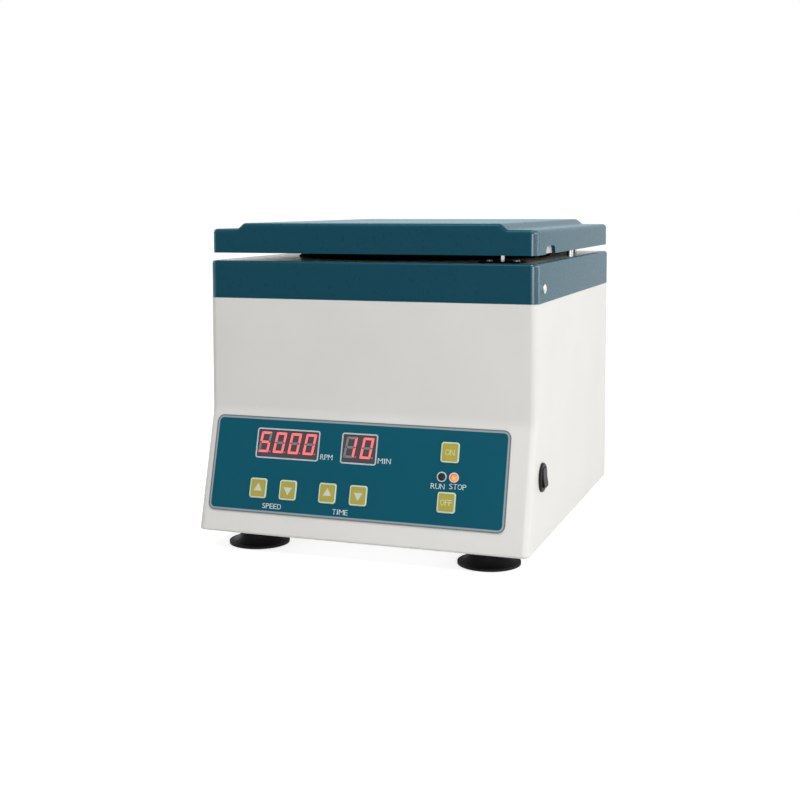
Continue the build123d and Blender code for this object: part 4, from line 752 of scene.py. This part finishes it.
def display(name, text):
    """Digits of one window: lit bars, unlit bars and decimal points."""
    face = windows[name]
    pitch = 2 * face.half_width / len(text) * PITCH_SHARE
    upright = DIGIT_HEIGHT / 2 - BAR_GAP
    stock = {
        "rim_bar": bar("rim_bar", DIGIT_WIDTH - 2 * BAR_GAP, 1.0, 1.0),
        "upper_bar": bar("upper_bar", upright, 1.0, 0.5),
        "lower_bar": bar("lower_bar", upright, 0.5, 1.0),
        "middle_bar": bar("middle_bar", DIGIT_WIDTH - BAR - 2 * BAR_GAP, 0.5, 0.5, pointed=True),
    }
    point = start("cylinder", "point", vertices=20, radius=POINT_RADIUS, depth=BAR_LIFT)
    slanted = Matrix.Identity(4)
    slanted[0][1] = SLANT
    lit, unlit = [], []
    for number, digit in enumerate(text):
        x = (number - (len(text) - 1) / 2) * pitch - DIGIT_SHIFT
        on_face = face.place(x, DIGIT_RISE, 0)
        for segment, (kind, (share_x, share_y), turn) in SEGMENTS.items():
            spot = Matrix.Translation((share_x * DIGIT_WIDTH, share_y * DIGIT_HEIGHT, 0))
            made = copy_at(stock[kind], slanted @ spot @ Matrix.Rotation(turn, 4, "Z"), "bar")
            made.data.transform(on_face)
            (lit if segment in SHAPES[digit] else unlit).append(made)
        corner = Matrix.Translation((DIGIT_WIDTH / 2 + POINT_GAP, (BAR - DIGIT_HEIGHT) / 2, 0))
        unlit.append(copy_at(point, on_face @ corner, "dot"))
    for made in (*stock.values(), point):
        discard(made)
    dress(join(lit, name + "_lit_bars"), segment_lit, "cabinet")
    dress(join(unlit, name + "_unlit_bars"), segment_unlit, "cabinet")


display("speed_display", "5000")
display("time_display", "10")


def window_frame(name):
    """Printed pale line with round corners, embossed round a window."""
    face = windows[name]
    grow = FRAME_LINE - FRAME_OVERLAP
    piece = start("plane", name + "_frame", size=2.0)
    piece.scale = (face.half_width + grow, face.half_height + grow, 1)
    settle(piece, Matrix.Identity(4))
    with editing(piece):
        bpy.ops.mesh.select_all(action="SELECT")
        bpy.ops.mesh.bevel(offset=FRAME_CORNER, segments=8, affect="VERTICES")
        bpy.ops.mesh.select_all(action="SELECT")
        bpy.ops.mesh.inset(thickness=FRAME_LINE, depth=0)
        bpy.ops.mesh.delete(type="FACE")
        thicken(FRAME_STAND)
    settle(piece, face.place(0, 0, label.height - face.height - FRAME_SINK))
    dress(piece, frame_ink, "cabinet")


for name in windows:
    window_frame(name)


# ------------------------------------------------------------------ legends

# a letter's share of its word's width, and where its uprights end at the foot and at the head
LETTERS = {
    "D": (0.95, (0.16,), (0.16,)),
    "E": (0.85, (0.18,), (0.18,)),
    "F": (0.80, (0.20,), (0.20,)),
    "I": (0.50, (0.5,), (0.5,)),
    "M": (1.20, (0.08, 0.92), (0.08, 0.92)),
    "N": (1.05, (0.10,), (0.10, 0.90)),
    "O": (1.00, (), ()),
    "P": (0.85, (0.18,), (0.18,)),
    "R": (0.98, (0.15, 0.92), (0.15,)),
    "S": (0.78, (), ()),
    "T": (0.90, (0.5,), ()),
    "U": (1.00, (), (0.10, 0.90)),
}
LETTER_GAP = 0.15
THINNING = -0.012  # strokes pared down, in text units
WIDEST = 1.5  # most that a letter is widened against its height
SERIF_WIDTH, SERIF_HEIGHT = 0.24, 0.07  # as shares of the cap height
SERIF_SINK = 0.008 * MM  # a serif lies this much under its letter's face
PRINT = 0.03 * MM  # thickness of a legend or an arrow
PRINT_LIFT = 0.02 * MM  # of a legend's underside over its face
CAP = 4.0 * MM
KEY_CAP = 4.4 * MM
ARROW_RADIUS = 4.3 * MM


def glyph(letter, width, height):
    """One printed capital with its serifs, from 0 to its width and centred on its height."""
    bpy.ops.object.select_all(action="DESELECT")
    bpy.ops.object.text_add()
    bpy.context.object.data.body = letter
    bpy.context.object.data.resolution_u = 4
    bpy.context.object.data.offset = THINNING
    bpy.ops.object.convert(target="MESH")
    drawn = bpy.context.object
    across = [vertex.co.x for vertex in drawn.data.vertices]
    up = [vertex.co.y for vertex in drawn.data.vertices]
    grow_y = height / (max(up) - min(up))
    grow_x = min(width / (max(across) - min(across)), grow_y * WIDEST)
    drawn.data.transform(
        Matrix.Translation((width / 2, 0, 0))
        @ Matrix.Diagonal((grow_x, grow_y, 1.0, 1.0))
        @ Matrix.Translation((-(min(across) + max(across)) / 2, -(min(up) + max(up)) / 2, 0))
    )
    _, feet, heads = LETTERS[letter]
    parts = [drawn]
    for side, spots in ((-1, feet), (1, heads)):
        for spot in spots:
            serif = start("plane", "serif", size=1.0)
            serif.scale = (SERIF_WIDTH * height, SERIF_HEIGHT * height, 1)
            up_to = side * height * (1 - SERIF_HEIGHT) / 2
            settle(serif, Matrix.Translation((spot * width, up_to, -SERIF_SINK)))
            parts.append(serif)
    return parts


def lettering(text, height, width, place, name, body, ink):
    """A word in thin raised print, as wide as given and centred on a place."""
    shares = [LETTERS[letter][0] for letter in text]
    scale = width / (sum(shares) + LETTER_GAP * (len(text) - 1))
    left = -width / 2
    parts = []
    for letter, share in zip(text, shares):
        for part in glyph(letter, share * scale, height):
            part.data.transform(Matrix.Translation((left, 0, 0)))
            parts.append(part)
        left += (share + LETTER_GAP) * scale
    piece = join(parts, name)
    with editing(piece):
        thicken(PRINT)
    settle(piece, place)
    return dress(piece, ink, body)


def legend_spot(x, drop):
    """A spot on the label by its X and its way down the slope from the label's upper edge."""
    return label.place(x - label.x, label.half_height - drop, PRINT_LIFT)


for text, width, x, drop in (
    ("RPM", 10.6, -31.5, 29.9),
    ("MIN", 10.9, 18.3, 29.9),
    ("SPEED", 16.6, -75.3, 72.4),
    ("TIME", 13.2, -15.3, 72.7),
    ("RUN", 11.3, 64.2, 46.5),
    ("STOP", 13.7, 80.5, 45.9),
):
    spot = legend_spot(x * MM, drop * MM)
    lettering(text, CAP, width * MM, spot, "legend_" + text.lower(), "cabinet", legend_ink)
for text, width, key in (("ON", 7.6, "on_key"), ("OFF", 9.4, "off_key")):
    spot = keys[key].place(0, 0, PRINT_LIFT)
    lettering(text, KEY_CAP, width * MM, spot, "legend_" + text.lower(), key + "_cap", key_ink)


def arrow(key, turn):
    """Printed triangle on a key."""
    piece = start("circle", key + "_arrow", vertices=3, radius=ARROW_RADIUS, fill_type="NGON")
    with editing(piece):
        thicken(PRINT)
    settle(piece, keys[key].place() @ Matrix.Rotation(turn, 4, "Z"))
    dress(piece, arrow_ink, key + "_cap")


for quantity in ("speed", "time"):
    arrow(quantity + "_up_key", 0)
    arrow(quantity + "_down_key", pi)


# ------------------------------------------------------------------ screws

HEAD_RATIO = 1.9  # radius of a head against its shank's
TOP = 0.99  # what lies above this share of a head's height is its top
RING = 0.12  # width of each of the top's two rings, as a share of the radius
STEPS = ((0.97, 0.38), (0.84, 0.12))  # rings beyond a share of the radius drop by one of height
ARM_LENGTH, ARM_WIDTH = 1.15, 0.26  # of the cross recess, as shares of the radius
ARM_HEIGHT = 0.8
ARM_TAPER = 0.55
FIRST_TURN, NEXT_TURN = 25, 37  # degrees, so that neighbouring recesses stand differently


def solids(node):
    """Lowest and highest corner of each separate solid of a CAD node, from left to right."""
    mesh = bmesh.new()
    mesh.from_mesh(nodes[node].data)
    bmesh.ops.remove_doubles(mesh, verts=mesh.verts, dist=NEAR / 2)
    boxes = []
    left = set(mesh.verts)
    while left:
        spots, edge_of = [], [left.pop()]
        while edge_of:
            vertex = edge_of.pop()
            spots.append(vertex.co.copy())
            for edge in vertex.link_edges:
                other = edge.other_vert(vertex)
                if other in left:
                    left.remove(other)
                    edge_of.append(other)
        boxes.append([Vector(map(end, zip(*spots))) for end in (min, max)])
    mesh.free()
    return sorted(boxes, key=lambda box: [round(value, 4) for value in box[0]])


def pan_head(radius, head_radius, head_height, length):
    """Pan-head screw along Z: its head stands on the origin, with a cross recess."""

    def on_top(spot):
        return spot.z > head_height * TOP

    head = start("cylinder", "screw", vertices=40, radius=head_radius, depth=head_height)
    settle(head, Matrix.Translation((0, 0, head_height / 2)))
    with editing(head):
        pick(head, "FACE", on_top)
        for _ in range(2):
            bpy.ops.mesh.inset(thickness=head_radius * RING, depth=0)
        for beyond, drop in STEPS:
            pick(head, "EDGE", lambda spot: on_top(spot) and spot.xy.length > head_radius * beyond)
            bpy.ops.transform.translate(value=(0, 0, -head_height * drop))
    arms = []
    for turn in (0, pi / 2):
        arm = start("cube", "arm", size=1.0)
        arm.scale = (head_radius * ARM_LENGTH, head_radius * ARM_WIDTH, head_height * ARM_HEIGHT)
        settle(arm, Matrix.Translation((0, 0, head_height)) @ Matrix.Rotation(turn, 4, "Z"))
        arms.append(arm)
    for arm in arms:
        with editing(arm):
            pick(arm, "FACE", lambda spot: not on_top(spot))
            bpy.ops.transform.resize(value=(ARM_TAPER, ARM_TAPER, 1))
        modify(head, "BOOLEAN", operation="DIFFERENCE", object=arm)
        discard(arm)
    shank = start("cylinder", "shank", vertices=24, radius=radius, depth=length)
    settle(shank, Matrix.Translation((0, 0, -length / 2)))
    return join([head, shank], "screw")


def screws(node, outward, finish=bright_steel):
    """Cross-recess screws in the places of a node's plain ones, which are all alike."""
    boxes = solids(node)
    size = boxes[0][1] - boxes[0][0]
    out = outward(boxes[0][0])
    along = max(range(3), key=lambda axis: abs(out[axis]))
    head_radius = max(size[axis] for axis in range(3) if axis != along) / 2
    radius = head_radius / HEAD_RATIO  # of the shank, and the head's height
    stock = pan_head(radius, head_radius, radius, size[along] - radius)
    copies = []
    for number, (low, high) in enumerate(boxes):
        centre = (low + high) / 2
        out = Vector(outward(centre))
        seat = centre + out * (size[along] / 2 - radius)
        place = Matrix.Translation(seat) @ out.to_track_quat("Z", "Y").to_matrix().to_4x4()
        place = place @ Matrix.Rotation(radians(FIRST_TURN + NEXT_TURN * number), 4, "Z")
        copies.append(copy_at(stock, place, "screw"))
    discard(stock)
    piece = join(copies, node + "_cross")
    members = frame["record"]["behaviour"]["bodies"]
    body = next(name for name, held in members.items() if node in held)
    dress(piece, finish, body, smooth=35)
    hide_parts(node)


screws("collar_screws", lambda centre: (1 if centre.x > 0 else -1, 0, 0))
screws("hinge_screws", lambda centre: (0, 1, 0))
screws("lid_hinge_screws", lambda centre: (0, 1, 0))
screws("lock_screws", lambda centre: (0, 0, 1), dull_zinc)
screws("base_screws", lambda centre: (0, 0, -1))


# ------------------------------------------------------------------ view transform

scene.view_settings.view_transform = "Standard"
